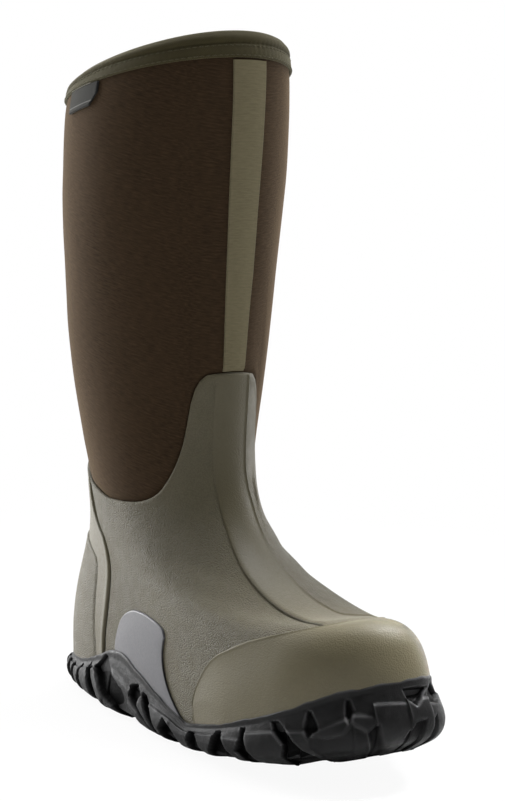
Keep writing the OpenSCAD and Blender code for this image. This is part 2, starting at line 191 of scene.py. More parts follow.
class Curve:
    """monotone smooth curve through design points, level where it meets 0 or 180"""

    def __init__(self, points):
        self.x, self.y = np.array(points, float).T
        self.step = np.diff(self.x)
        d = np.diff(self.y) / self.step
        m = np.zeros(len(self.x))
        for i in range(1, len(m) - 1):
            if d[i - 1] * d[i] > 0:
                m[i] = 2 * d[i - 1] * d[i] / (d[i - 1] + d[i])
        m[0] = 0 if self.x[0] == 0 else d[0]
        m[-1] = 0 if self.x[-1] == 180 else d[-1]
        self.slope = m

    def __call__(self, t):
        t = np.clip(t, self.x[0], self.x[-1])
        i = np.clip(np.searchsorted(self.x, t, side="right") - 1, 0, len(self.step) - 1)
        h = self.step[i]
        f = (t - self.x[i]) / h
        return ((2 * f ** 3 - 3 * f ** 2 + 1) * self.y[i]
                + (f ** 3 - 2 * f ** 2 + f) * h * self.slope[i]
                + (-2 * f ** 3 + 3 * f ** 2) * self.y[i + 1]
                + (f ** 3 - f ** 2) * h * self.slope[i + 1])


# upper edge of the rubber foot: angle from the heel, u
TOP = Curve([
    [0, 6.35], [20, 6.25], [40, 6], [53, 5.82], [64, 5.7], [82, 5.67], [94, 5.75], [106, 5.85],
    [114, 5.94], [124, 6.12], [131, 6.33], [138, 6.6], [143.5, 6.9], [147, 7.22], [150, 7.52],
    [154.5, 7.69], [160, 7.76], [180, 7.78]])
# upper edge of the outsole: angle from the heel, u
SOLE = Curve([
    [0, 0.2], [30, 0.33], [47, 0.46], [57, 0.68], [62, 0.83], [68, 1.04], [72, 1.1], [77, 1.05],
    [81, 0.92], [85, 0.8], [92, 0.58], [98, 0.4], [103, 0.27], [107, 0.34], [119, 0.53],
    [127, 0.61], [141, 0.69], [150, 0.72], [161, 0.69], [180, 0.65]])
# upper edge of the toe cap: angle from the heel, u
CAP = Curve([
    [105, 0.6], [106, 0.95], [108.5, 1.3], [112, 1.65], [115.5, 1.88], [120, 2.06], [130, 2.36],
    [141, 2.52], [158, 2.65], [180, 2.75]])


def topline(v):
    return TOP(np.abs(turn(v)))


def sole_line(v):
    return SOLE(np.abs(turn(v)))


LATTICE = np.random.default_rng(71).random((32, 32, 32)) * 2 - 1


def vnoise(points, scale):
    """seeded value noise, -1 to 1, for soft shape variation"""
    q = np.asarray(points, float) / scale
    cell = np.floor(q).astype(int)
    f = q - cell
    f = f * f * (3 - 2 * f)
    total = 0
    for corner in np.ndindex(2, 2, 2):
        weight = np.prod(np.where(corner, f, 1 - f), axis=-1)
        i = (cell + corner) % 32
        total = total + weight * LATTICE[i[..., 0], i[..., 1], i[..., 2]]
    return total


# ---------------------------------------------------------------------------
# mesh builders
# ---------------------------------------------------------------------------
def arcs(p, axis):
    """running length along an axis of a grid of points"""
    d = np.linalg.norm(np.diff(p, axis=axis), axis=-1)
    zero = np.zeros_like(np.take(d, [0], axis=axis))
    return np.concatenate([zero, np.cumsum(d, axis=axis)], axis=axis)


def make(name, verts, faces, uvs, mat, sharp, attrs=None):
    """verts in mm on the last; uvs one (x, y) per face corner, in metres"""
    v = metres(verts)
    volume = 0.0
    for count in (4, 3):
        group = np.array([f for f in faces if len(f) == count])
        for k in range(2, count) if len(group) else ():
            cross = np.cross(v[group[:, k - 1]], v[group[:, k]])
            volume += np.einsum("ij,ij->i", v[group[:, 0]], cross).sum()
    if volume < 0:
        faces = [tuple(reversed(f)) for f in faces]
        if uvs is not None:
            uvs = [list(reversed(c)) for c in uvs]
    me = bpy.data.meshes.new(name)
    me.from_pydata(v.tolist(), [], faces)
    if uvs is not None:
        flat = np.array([c for f in uvs for c in f], np.float32)
        me.uv_layers.new(name="UVMap").data.foreach_set("uv", flat.ravel())
    rest = me.attributes.new("restpos", "FLOAT_VECTOR", "POINT")
    rest.data.foreach_set("vector", v.astype(np.float32).ravel())
    for key, values in (attrs or {}).items():
        layer = me.attributes.new(key, "FLOAT", "POINT")
        layer.data.foreach_set("value", np.asarray(values, np.float32).ravel())
    me.polygons.foreach_set("use_smooth", np.ones(len(me.polygons), bool))
    me.update()
    me.set_sharp_from_angle(angle=math.radians(sharp))
    ob = bpy.data.objects.new(name, me)
    bpy.context.scene.collection.objects.link(ob)
    me.materials.append(mat)
    return ob


def project_uv(ob, axes):
    """a flat UV map that takes two of the three coordinates"""
    me = ob.data
    layer = me.uv_layers.new(name="UVMap")
    co = np.zeros(len(me.vertices) * 3, np.float32)
    me.vertices.foreach_get("co", co)
    corner = np.zeros(len(me.loops), np.int32)
    me.loops.foreach_get("vertex_index", corner)
    layer.data.foreach_set("uv", co.reshape(-1, 3)[corner][:, axes].ravel())


def grid(across, up):
    return np.meshgrid(across, up, indexing="ij")


def quads(columns, rows, n, m):
    """columns x rows quads on n columns of m points, wrapping round both ways"""
    J, I = grid(np.arange(columns), np.arange(rows))
    J2, I2 = (J + 1) % n, (I + 1) % m
    q = np.stack([J * m + I, J * m + I2, J2 * m + I2, J2 * m + I], -1)
    return [tuple(f) for f in q.reshape(-1, 4).tolist()]


def sweep(name, p, ring, mat, sharp, attrs=None):
    """p: (columns, loop points, 3), a closed loop swept over the columns. ring closes it round;
    otherwise the ends are capped, and the loop is an outer run then the matching inner run."""
    n, m, _ = p.shape
    centres = p.mean(1)
    au = arcs(centres[:, None], 0)[:, 0]
    au = np.append(au, au[-1] + np.linalg.norm(centres[0] - centres[-1]))
    av = arcs(np.concatenate([p, p[:, :1]], 1), 1)
    av = np.concatenate([av, av[:1]])
    columns = n if ring else n - 1
    faces = quads(columns, m, n, m)
    J, I = grid(np.arange(columns), np.arange(m))
    corners = [np.stack([au[J + a], av[J + a, I + b]], -1)
               for a, b in ((0, 0), (0, 1), (1, 1), (1, 0))]
    uvs = (np.stack(corners, -2).reshape(-1, 4, 2) * 0.001).tolist()
    if not ring:
        for j, flip in ((0, False), (n - 1, True)):
            for i in range(m // 2 - 1):
                f = (j * m + i, j * m + m - 1 - i, j * m + m - 2 - i, j * m + i + 1)
                lo, hi = 0.001 * i, 0.001 * i + 0.001
                faces.append(tuple(reversed(f)) if flip else f)
                uvs.append([(0.0, lo), (0.001, lo), (0.001, hi), (0.0, hi)])
    return make(name, p.reshape(-1, 3), faces, uvs, mat, sharp, attrs)


def border(count, length, marks=(0.0, 0.12, 0.4, 0.8, 1.4, 2.2, 3.2)):
    """count + 1 fractions of a run of this length, with marks in mm close to both ends"""
    ends = np.array(marks) / length
    inner = np.linspace(ends[-1], 1 - ends[-1], count - 2 * (len(ends) - 1) + 1)
    return np.concatenate([ends[:-1], inner, 1 - ends[-2::-1]])


class Overlay:
    """a moulded sheet on the last; start, end, low and high are distances from its edges"""

    def __init__(self, u, v):
        self.points = last(u, v)
        self.normals = normal(u, v)
        self.start = arcs(self.points, 0)
        self.end = self.start[-1:] - self.start
        self.low = arcs(self.points, 1)
        self.high = self.low[:, -1:] - self.low

    def build(self, name, height, mat, back=-0.35, painted_shade=None):
        """height is the outside offset; the inside lies at back, or just under the outside"""
        outer = self.points + height[..., None] * self.normals
        inner = self.points + np.minimum(back, height - 0.05)[..., None] * self.normals
        attrs = None
        # painted shade, where given: as given on the outside, full on the hidden inside
        if painted_shade is not None:
            attrs = {"painted_shade": np.concatenate([painted_shade, np.ones_like(painted_shade)], 1)}
        return sweep(name, np.concatenate([outer, inner[:, ::-1]], 1), False, mat, 38, attrs)


def two_sides(half):
    """angles 0 to 180, mirrored to go right round from -180"""
    return np.concatenate([-half[:0:-1], half[:-1]])


def plated(name, ring, plates, mat, sharp, painted_shade=None):
    """an edge ring from two_sides columns, closed by plates at its first row (up) and last (down).
    Each plate is (count across, height(points, mm from outer side, mm from inner side))."""
    nc, m, _ = ring.shape
    n = nc // 2
    i = np.arange(n + 1)
    verts = ring.reshape(-1, 3)
    faces = quads(nc, m - 1, nc, m)
    for r, up, (cross, height) in ((0, True, plates[0]), (m - 1, False, plates[1])):
        outer, inner = ring[n - i[1:-1], r], ring[n + i[1:-1], r]
        share = np.arange(1, cross) / cross
        points = mix(outer[:, None], inner[:, None], share[None, :, None])
        width = np.linalg.norm((inner - outer)[:, :2], axis=-1)[:, None]
        points[..., 2] = height(points, share * width, (1 - share) * width)
        ids = np.zeros((n + 1, cross + 1), int)
        ids[1:-1, 1:-1] = len(verts) + np.arange((n - 1) * (cross - 1)).reshape(n - 1, -1)
        ids[:, 0] = (n - i) % nc * m + r
        ids[:, -1] = (n + i) % nc * m + r
        ids[0], ids[-1] = ids[0, 0], ids[-1, 0]
        ids = ids.tolist()
        for a, b in zip(ids, ids[1:]):
            for k in range(cross):
                f = tuple(dict.fromkeys((a[k], a[k + 1], b[k + 1], b[k])))
                if len(f) >= 3:
                    faces.append(f if up else f[::-1])
        verts = np.concatenate([verts, points.reshape(-1, 3)])
    attrs = None
    if painted_shade is not None:
        # painted shade: the plates' own points, tread and floor, get a middle amount
        tone = np.full(len(verts), 0.55)
        tone[:painted_shade.size] = painted_shade.ravel()
        attrs = {"painted_shade": tone}
    return make(name, verts, faces, None, mat, sharp, attrs)


# ---------------------------------------------------------------------------
# materials
# ---------------------------------------------------------------------------
INPUTS = {"color": "Base Color", "rough": "Roughness", "metal": "Metallic",
          "spec": "Specular IOR Level", "sheen": "Sheen Weight",
          "sheen_rough": "Sheen Roughness", "sheen_tint": "Sheen Tint"}


class Shader:
    """a Principled material; coords is restpos, or an output of Texture Coordinate"""

    def __init__(self, name, coords="restpos"):
        self.material = bpy.data.materials.new(name)
        self.material.use_nodes = True
        self.tree = self.material.node_tree
        self.surface = self.tree.nodes["Principled BSDF"]
        self.last_bump = None
        if coords == "restpos":
            self.coords = self.attribute(coords, "Vector")
        else:
            self.coords = self.new("ShaderNodeTexCoord").outputs[coords]

    def new(self, kind, **settings):
        node = self.tree.nodes.new(kind)
        for key, value in settings.items():
            setattr(node, key, value)
        return node

    def link(self, source, target):
        self.tree.links.new(source, target)

    def feed(self, socket, value):
        if isinstance(value, bpy.types.NodeSocket):
            self.link(value, socket)
        else:
            socket.default_value = (*value, 1) if isinstance(value, tuple) else value

    def attribute(self, name, output="Fac"):
        return self.new("ShaderNodeAttribute", attribute_name=name).outputs[output]

    def mapped(self, scale, degrees=0):
        node = self.new("ShaderNodeMapping")
        node.inputs["Scale"].default_value = scale
        node.inputs["Rotation"].default_value = (0, 0, math.radians(degrees))
        self.link(self.coords, node.inputs["Vector"])
        return node.outputs[0]

    def noise(self, scale, detail=3.0, rough=0.55, coords=None):
        node = self.new("ShaderNodeTexNoise")
        node.inputs["Scale"].default_value = scale
        node.inputs["Detail"].default_value = detail
        node.inputs["Roughness"].default_value = rough
        self.link(coords or self.coords, node.inputs["Vector"])
        return node.outputs["Fac"]

    def cells(self, scale, smooth):
        node = self.new("ShaderNodeTexVoronoi", feature="SMOOTH_F1")
        node.inputs["Scale"].default_value = scale
        node.inputs["Smoothness"].default_value = smooth
        self.link(self.coords, node.inputs["Vector"])
        return node.outputs["Distance"]

    def wave(self, scale, coords, direction):
        node = self.new("ShaderNodeTexWave", wave_type="BANDS", bands_direction=direction)
        node.inputs["Scale"].default_value = scale
        self.link(coords, node.inputs["Vector"])
        return node.outputs["Fac"]

    def math(self, operation, a, b):
        node = self.new("ShaderNodeMath", operation=operation)
        self.feed(node.inputs[0], a)
        self.feed(node.inputs[1], b)
        return node.outputs[0]

    def plus(self, a, b):
        return self.math("ADD", a, b)

    def times(self, a, b):
        return self.math("MULTIPLY", a, b)

    def ramp(self, value, span=(0.3, 0.7), to=(0.0, 1.0)):
        node = self.new("ShaderNodeMapRange")
        self.feed(node.inputs["Value"], value)
        node.inputs["From Min"].default_value, node.inputs["From Max"].default_value = span
        node.inputs["To Min"].default_value, node.inputs["To Max"].default_value = to
        return node.outputs[0]

    def blend(self, factor, a, b):
        node = self.new("ShaderNodeMix", data_type="RGBA")
        for index, value in ((0, factor), (6, a), (7, b)):
            self.feed(node.inputs[index], value)
        return node.outputs[2]

    def cover(self, base, mask, amount, over):
        return self.blend(self.times(mask, amount), base, over)

    def mottle(self, value, color, shades, span=(0.3, 0.7)):
        """a colour wandering between two shades of itself"""
        return self.blend(self.ramp(value, span), shade(color, shades[0]),
                          shade(color, shades[1]))

    def pointiness(self):
        return self.new("ShaderNodeNewGeometry").outputs["Pointiness"]

    def bump(self, height, strength, distance):
        """bumps stack: each one starts from the one before"""
        node = self.new("ShaderNodeBump")
        self.feed(node.inputs["Strength"], strength)
        node.inputs["Distance"].default_value = distance
        self.link(height, node.inputs["Height"])
        if self.last_bump is not None:
            self.link(self.last_bump, node.inputs["Normal"])
        self.last_bump = node.outputs[0]
        self.link(self.last_bump, self.surface.inputs["Normal"])

    def set(self, **values):
        for key, value in values.items():
            self.feed(self.surface.inputs[INPUTS[key]], value)


def shade(color, gain):
    return tuple(min(1.0, x * gain) for x in color)


def edge_highlight(color, gain, blue_gain):
    """the paler colour painted on edges, as a highlight"""
    red, green, blue = color
    return (red * gain + 0.02, green * gain + 0.02, blue * blue_gain + 0.02)


def pebble_rubber(name, color, pebble, shell=False):
    """the shell reads the grain attribute, and an attribute of painted shade that darkens the
    heel-band groove
    """
    s = Shader(name)
    warp = s.noise(scale=140)
    big = s.noise(scale=26, detail=2)
    cells = s.cells(scale=1300, smooth=0.3)
    fine = s.noise(scale=2300, detail=2)
    col = s.mottle(big, color, shades=(0.93, 1.07))
    # painted shade: the pits of the pebble grain are darkened in the colour
    pit_shade = s.ramp(cells, span=(0.15, 0.7), to=(0.0, 0.5 * pebble + 0.03))
    col = s.blend(pit_shade, col, shade(color, 0.5))
    edge = s.ramp(s.pointiness(), span=(0.52, 0.62))
    # painted highlight: pointy edges are painted paler, as if catching light
    col = s.cover(col, edge, 0.45, edge_highlight(color, gain=1.5, blue_gain=1.55))
    if shell:
        # painted shade: the heel-band groove painted darker
        col = s.cover(col, s.attribute("painted_shade"), 0.9, shade(color, 0.12))
    s.set(color=col, rough=s.ramp(warp, to=(0.51, 0.63)), spec=0.36)
    height = s.plus(s.times(cells, -1.0), s.times(fine, 0.25))
    strength = s.times(s.attribute("grain"), 0.75 * pebble) if shell else 0.8 * pebble
    s.bump(height, strength, distance=0.0009)
    s.set(sheen=0.05, sheen_rough=0.5, sheen_tint=(0.85, 0.8, 0.7))
    return s.material


def satin_rubber(name, color, rough, bump, sheen=0.05, painted_shade=False):
    s = Shader(name)
    big = s.noise(scale=30, detail=2)
    cells = s.cells(scale=1300, smooth=0.5)
    fine = s.noise(scale=700)
    col = s.mottle(big, color, shades=(0.95, 1.06))
    col = s.blend(s.ramp(fine, span=(0.35, 0.7), to=(0.0, 0.16)), col, shade(color, 0.75))
    edge = s.ramp(s.pointiness(), span=(0.52, 0.62))
    # painted highlight: pointy edges are painted paler, as if catching light
    col = s.cover(col, edge, 0.5, edge_highlight(color, gain=1.7, blue_gain=1.8))
    # painted shade where the mesh carries it: the arch wings' edge shadows
    if painted_shade:
        col = s.cover(col, s.attribute("painted_shade"), 0.92, shade(color, 0.08))
    s.set(color=col, rough=s.ramp(fine, to=(rough - 0.05, rough + 0.06)), spec=0.38,
          sheen=sheen, sheen_rough=0.5, sheen_tint=(0.85, 0.8, 0.68))
    s.bump(s.plus(s.times(cells, -1.0), fine), strength=bump, distance=0.0004)
    return s.material


def sole_rubber(name, color):
    s = Shader(name)
    mid = s.noise(scale=300, detail=4)
    fine = s.noise(scale=1800)
    edge = s.ramp(s.pointiness(), span=(0.505, 0.56))
    # painted shade: concave spots are darkened in the colour
    hollow_shade = s.ramp(s.pointiness(), span=(0.495, 0.44))
    scuff = s.ramp(s.noise(scale=90, detail=5, rough=0.7), span=(0.45, 0.75))
    col = s.mottle(mid, color, shades=(0.8, 1.35))
    col = s.cover(col, scuff, 0.18, (0.02, 0.02, 0.0205))
    axes = s.new("ShaderNodeSeparateXYZ")
    s.link(s.new("ShaderNodeNewGeometry").outputs["Normal"], axes.inputs[0])
    # paler edges, part rubbed wear and part painted highlight; the painted highlight is palest where
    # edges face up
    edge = s.times(edge, s.ramp(axes.outputs[2], span=(-0.05, 0.55), to=(0.12, 1.0)))
    col = s.cover(col, edge, 0.8, (0.09, 0.09, 0.092))
    col = s.cover(col, hollow_shade, 0.7, shade(color, 0.3))
    # painted shade: recesses, the undercut and the tread plates are painted near black
    cave = s.attribute("painted_shade")
    col = s.cover(col, cave, 0.93, (0.0007, 0.0007, 0.0007))
    s.set(color=col, rough=s.ramp(mid, to=(0.38, 0.56)),
          spec=s.ramp(cave, span=(0.0, 1.0), to=(0.14, 0.02)))
    s.bump(fine, strength=0.35, distance=0.0004)
    s.bump(mid, strength=0.3, distance=0.0009)
    return s.material


def jersey(name, color, lit, sheen, tint, contrast=1.0):
    """knit with fine streaks along the map's x"""
    s = Shader(name, "UV")
    streak = s.noise(scale=1.0, rough=0.65, coords=s.mapped((170, 1150, 1)))
    rib = s.wave(scale=310, coords=s.mapped((0.0, 1.0, 1.0)), direction="Y")
    pill = s.noise(scale=260, detail=4, rough=0.6)
    big = s.noise(scale=22, detail=2)
    course = s.wave(scale=160, coords=s.mapped((0.0, 1.0, 1.0)), direction="Y")
    col = s.mottle(streak, color, shades=(1 - 0.42 * contrast, 1 + 0.45 * contrast),
                   span=(0.35, 0.68))
    col = s.cover(col, course, 0.3 * contrast, shade(color, 0.62))
    col = s.blend(s.ramp(big, span=(0.35, 0.7), to=(0.0, 0.35)), col, lit)
    s.set(color=col, rough=0.92, spec=0.08, sheen=sheen, sheen_rough=0.4, sheen_tint=tint)
    s.bump(s.plus(streak, s.times(pill, 0.5)), strength=0.45, distance=0.0005)
    s.bump(rib, strength=0.12, distance=0.0002)
    return s.material


def woven(name, color, sheen=0.35, pitch=2600.0):
    """two crossed sets of diagonal threads"""
    s = Shader(name, "UV")
    warp = s.wave(scale=pitch / 6.28, coords=s.mapped((1, 1, 1), degrees=32), direction="X")
    weft = s.wave(scale=pitch * 1.2 / 6.28, coords=s.mapped((1, 1, 1), degrees=-58),
                  direction="X")
    fine = s.noise(scale=900)
    big = s.noise(scale=60, detail=2)
    twill = s.times(warp, weft)
    col = s.mottle(twill, color, shades=(0.8, 1.2), span=(0.1, 0.8))
    col = s.blend(s.ramp(big, span=(0.35, 0.7), to=(0, 0.3)), col, shade(color, 1.45))
    s.set(color=col, rough=0.85, spec=0.25, sheen=sheen, sheen_rough=0.4,
          sheen_tint=(0.75, 0.72, 0.5))
    s.bump(s.plus(twill, s.times(fine, 0.5)), strength=0.5, distance=0.0004)
    return s.material


def plain(name, color, rough, scale, distance, strength, coords="restpos", metal=0.0,
          stretch=(1, 1, 1)):
    s = Shader(name, coords)
    fine = s.noise(scale=scale, detail=4, rough=0.6, coords=s.mapped(stretch))
    big = s.noise(scale=40, detail=2)
    col = s.mottle(fine, color, shades=(0.8, 1.2))
    col = s.blend(s.ramp(big, span=(0.35, 0.7), to=(0, 0.3)), col, shade(color, 0.8))
    s.set(color=col, rough=rough, metal=metal, spec=0.4)
    s.bump(fine, strength=strength, distance=distance)
    return s.material


SHELL_COLOR = (0.083, 0.0715, 0.0395)
SATIN_COLOR = (0.086, 0.0735, 0.039)
TAPE_COLOR = (0.136, 0.118, 0.071)

SHELL_MAT = pebble_rubber("shell_rubber", SHELL_COLOR, pebble=1.0, shell=True)
PANEL_MAT = pebble_rubber("heel_panel_rubber", SHELL_COLOR, pebble=0.75)
HEEL_MAT = satin_rubber("heel_band_rubber", SHELL_COLOR, rough=0.52, bump=0.4)
CAP_MAT = satin_rubber("olive_satin_rubber", SATIN_COLOR, rough=0.5, bump=0.35)
BAND_MAT = satin_rubber("instep_band_rubber", shade(SATIN_COLOR, 0.84), rough=0.5, bump=0.4)
WING_MAT = satin_rubber("arch_wing_rubber", (0.073, 0.072, 0.079), rough=0.38, bump=0.1,
                        sheen=0.0, painted_shade=True)
SOLE_MAT = sole_rubber("sole_rubber", (0.0048, 0.0048, 0.0049))
SLEEVE_MAT = jersey("neoprene_jersey", (0.0335, 0.0207, 0.0109), lit=(0.037, 0.0225, 0.0118),
                    sheen=0.22, tint=(0.82, 0.6, 0.38))
LINING_MAT = jersey("brushed_lining", (0.075, 0.066, 0.055), lit=(0.11, 0.1, 0.085),
                    sheen=0.3, tint=(0.8, 0.78, 0.7))
TAPE_MAT = jersey("seam_tape", TAPE_COLOR, lit=shade(TAPE_COLOR, 1.12), sheen=0.22,
                  tint=(0.8, 0.76, 0.6), contrast=0.3)
BINDING_MAT = woven("binding_weave", (0.039, 0.0318, 0.0112), sheen=0.18)
THREAD_MAT = woven("thread_twist", (0.052, 0.045, 0.022), pitch=4000.0)
TAG_MAT = woven("tag_weave", (0.013, 0.013, 0.0135), pitch=2400.0, sheen=0.12)
TAG_LINE_MAT = woven("tag_edge_weave", (0.16, 0.16, 0.155), pitch=3000.0, sheen=0.1)
TAG_THREAD_MAT = woven("tag_thread_twist", (0.30, 0.29, 0.25), pitch=4000.0, sheen=0.1)
FOAM_MAT = plain("neoprene_foam", (0.045, 0.036, 0.028), rough=0.85, scale=1600,
                 distance=0.0004, strength=0.4)
BED_MAT = plain("footbed_foam", (0.085, 0.1, 0.085), rough=0.8, scale=900,
                distance=0.0005, strength=0.5)
COVER_MAT = jersey("footbed_knit", (0.12, 0.1, 0.075), lit=(0.16, 0.14, 0.11), sheen=0.3,
                   tint=(0.8, 0.78, 0.7))
MIDSOLE_MAT = plain("midsole_foam", (0.07, 0.07, 0.072), rough=0.8, scale=1100,
                    distance=0.0004, strength=0.45, coords="Object")
BOARD_MAT = plain("insole_fibreboard", (0.36, 0.26, 0.15), rough=0.85, scale=420,
                  distance=0.0004, strength=0.5, coords="Object", stretch=(1, 6, 6))
SHANK_MAT = plain("shank_steel", (0.56, 0.58, 0.6), rough=0.32, scale=240, distance=0.0001,
                  strength=0.25, coords="Object", metal=1.0, stretch=(0.4, 18, 18))
STIFF_MAT = plain("stiffener_sheet", (0.5, 0.48, 0.42), rough=0.55, scale=700,
                  distance=0.0002, strength=0.25)

# ---------------------------------------------------------------------------
# how pieces move
# ---------------------------------------------------------------------------
TAG_ROOT_U, TAG_ROOT_ANGLES = 11.13, (-95.0, -75.0)


def attach(ob, motion, node):
    if motion == "ankle":
        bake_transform(ob)
    elif motion == "tag":
        # the sewn root stays on the shaft; an axis along it is worked out but not used, and the
        # label is fixed in place
        p, q = (at(TAG_ROOT_U, angle, 0.6) for angle in TAG_ROOT_ANGLES)
        up = unit(np.cross(p - q, normal(TAG_ROOT_U, sum(TAG_ROOT_ANGLES) / 2)))
        up = up * np.sign(up[2])
        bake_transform(ob)
    else:
        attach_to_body(ob, motion)
    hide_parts(node)


# ---------------------------------------------------------------------------
# rubber foot
# ---------------------------------------------------------------------------
# half-widths by height: u, degrees from the heel
HEEL_W = Curve([
    [0.01, 63.5], [1.2, 62.6], [1.8, 63.4], [2.5, 64.2], [3.7, 65.4], [4.15, 64.8], [4.4, 61.5],
    [4.75, 57.6], [5.2, 56.6], [7, 54]])
PANEL_W = Curve([
    [0.01, 58.5], [0.8, 58.5], [1.35, 57], [2.0, 56.2], [2.9, 55.6], [3.2, 54.0], [3.45, 49.5],
    [3.62, 44]])
# reach of the instep band to each side: u, degrees from the front
BAND_OUT = Curve([
    [2.6, 22], [2.9, 19], [3.3, 17.4], [3.75, 15.6], [4.15, 16.6], [4.6, 17.9], [4.95, 18.3],
    [5.3, 17.3], [5.8, 15.4], [6.1, 15.8], [6.5, 16.6], [7.1, 16.2], [7.9, 14.5]])
BAND_IN = Curve([
    [2.6, 20], [3.2, 17.8], [3.6, 16.6], [4.0, 19.4], [4.4, 19.8], [4.8, 20.4], [5.2, 21],
    [5.6, 21.2], [6.0, 20.6], [6.3, 17.4], [6.6, 15.4], [7.2, 15.2], [7.9, 13.5]])
# shell columns that follow the heel band's edge and the instep band's edge
HEEL_COL, FREE_COL, BAND_COL = 64, 110, 166
SHELL_INSIDE = -2.2


def shell_columns():
    """every 2.5 degrees, closer where the two grooves run"""
    angles = [np.arange(0, 180.1, 2.5)]
    for centre, reach, step in ((HEEL_COL, 5, 0.4), (BAND_COL, 7, 0.5)):
        angles.append(np.arange(centre - reach, centre + reach + 0.01, step))
    kept = [0.0]
    for angle in np.unique(np.round(np.concatenate(angles), 2)):
        if angle - kept[-1] > 0.3:
            kept.append(angle)
    return two_sides(np.array(kept))


def shell_place(column, share):
    """(u, v) at a share of the height, with columns bent to follow the band edges"""
    column, share = np.broadcast_arrays(column, share)
    v = column
    p = np.abs(column)
    for _ in range(4):
        u = mix(np.maximum(0.05, sole_line(v) - 0.28), topline(v), share)
        heel = HEEL_W(u)
        front = 180 - np.where(column < 0, BAND_OUT(u), BAND_IN(u))
        bent = np.select([p < HEEL_COL, p < FREE_COL, p < BAND_COL], [
            p * heel / HEEL_COL,
            heel + (p - HEEL_COL) * (FREE_COL - heel) / (FREE_COL - HEEL_COL),
            FREE_COL + (p - FREE_COL) * (front - FREE_COL) / (BAND_COL - FREE_COL)],
            front + (p - BAND_COL) * (180 - front) / (180 - BAND_COL))
        v = np.sign(column) * bent
    return u, v


def shell():
    cols = shell_columns()
    shares = np.concatenate([np.linspace(0, 0.9, 96)[:-1], np.linspace(0.9, 0.985, 14)])
    u, v = shell_place(cols[:, None], shares)
    p0 = last(u, v)
    scale = mm_per_degree(u, v)
    over_sole = u - sole_line(v)
    # groove along the heel band
    heel = (np.abs(v) - HEEL_W(u)) * scale
    g = -1.2 * bell(heel - 0.75, 0.6) * ease(over_sole / 0.15)
    # painted shade: the heel-band groove is darkened in the colour
    groove_shade = bell(heel - 0.45, 0.42) * ease(over_sole / 0.1)
    # gutter along the instep band, deeper on the outer side
    outer_gap = (180 - BAND_OUT(u) - np.abs(v)) * scale
    inner_gap = (180 - BAND_IN(u) - np.abs(v)) * scale
    deep = np.interp(u, [2.6, 3.0, 3.6, 4.4, 5.2, 6.2, 7.8], [0.2, 1.5, 1.5, 1.0, 0.55, 0.25, 0.15])
    g += np.where(v < 0, -deep * bell(outer_gap - 0.6, 1.5), 0) * ease((u - 2.5) / 0.4)
    g += np.where(v > 0, -0.25 * bell(inner_gap - 0.8, 0.9), 0) * ease((u - 2.8) / 0.5)
    # gentle waves, then shallow bending folds round the ankle
    g += 0.28 * vnoise(p0, 34.0) * ease((u - 1.2) / 1.0)
    fold = bell(u - 4.9, 0.65) * bell(np.abs(v) - 128, 22)
    g += -0.55 * fold * np.cos((u - 4.9) * 7.5)
    # rolled upper edge
    mm_per_row = np.linalg.norm(last(u + 0.05, v) - p0, axis=-1) / 0.05
    g += 0.35 * bell((topline(v) - u) * mm_per_row - 1.6, 1.1)
    outer = p0 + g[..., None] * normal(u, v)
    # the lip: share of the height, offset
    lip = np.stack([at(*shell_place(cols, share), offset) for share, offset in (
        (0.992, 0.12), (0.9975, -0.25), (1.0, -0.8), (1.0, -1.5), (0.9965, -2.0),
        (0.99, SHELL_INSIDE))], 1)
    ui, vi = shell_place(cols[:, None], np.linspace(0.97, 0, 30))
    p = np.concatenate([outer, lip, at(ui, vi, SHELL_INSIDE)], 1)
    # the grain is full on the body and finer on the tongue
    angle = np.abs(np.concatenate([v, np.repeat(v[:, -1:], lip.shape[1], 1), vi], 1))
    tongue = ease((p[..., 2] - 105) / 60) * ease((angle - 105) / 25)
    # painted shade for the colour: only the heel-band groove gets it
    painted_shade = np.zeros(p.shape[:2])
    painted_shade[:, :groove_shade.shape[1]] = groove_shade
    ob = sweep("rubber_foot_shell", p, True, SHELL_MAT, 50,
               {"grain": 1.0 - 0.78 * tongue, "painted_shade": painted_shade})
    attach(ob, "ankle", "rubber_shell")


def heel_band():
    S, T = grid(2 * border(84, 130.0) - 1, border(120, 170.0))
    v = S * 60
    for _ in range(4):
        u = mix(np.maximum(0.04, sole_line(v) - 0.12), topline(v) - 0.015, T)
        v = S * HEEL_W(u)
    o = Overlay(u, v)
    d = np.minimum(o.start, o.end)
    bead = 1.45 * rounded(d, 1.5) - 0.45 * ease((d - 2.6) / 1.6)
    wave = 0.12 * vnoise(o.points, 22.0)
    thin_top = 0.55 + 0.45 * ease(o.high / 14)
    height = -0.1 + (bead + wave) * rounded(np.minimum(o.low, o.high) + 0.02, 1.0) * thin_top
    attach(o.build("heel_overlay_band", height, HEEL_MAT), "ankle", "heel_overlay")


def heel_panel():
    S, T = grid(2 * border(76, 115.0) - 1, border(80, 100.0))
    top = 3.66 - 0.42 * np.abs(S) ** 6
    v = S * 56
    for _ in range(3):
        u = mix(sole_line(v) - 0.1, top, T)
        v = S * PANEL_W(u)
    o = Overlay(u, v)
    d = np.minimum(np.minimum(o.start, o.end), o.high)
    height = (0.55 + 1.25 * rounded(d, 4.2) * (0.35 + 0.65 * ease(d / 3.0))
              + 0.35 * ease(d / 26) + 0.1 * vnoise(o.points, 18.0))
    ob = o.build("heel_cup_raised_panel", height, PANEL_MAT, back=0.4)
    attach(ob, "ankle", "heel_cup_panel")


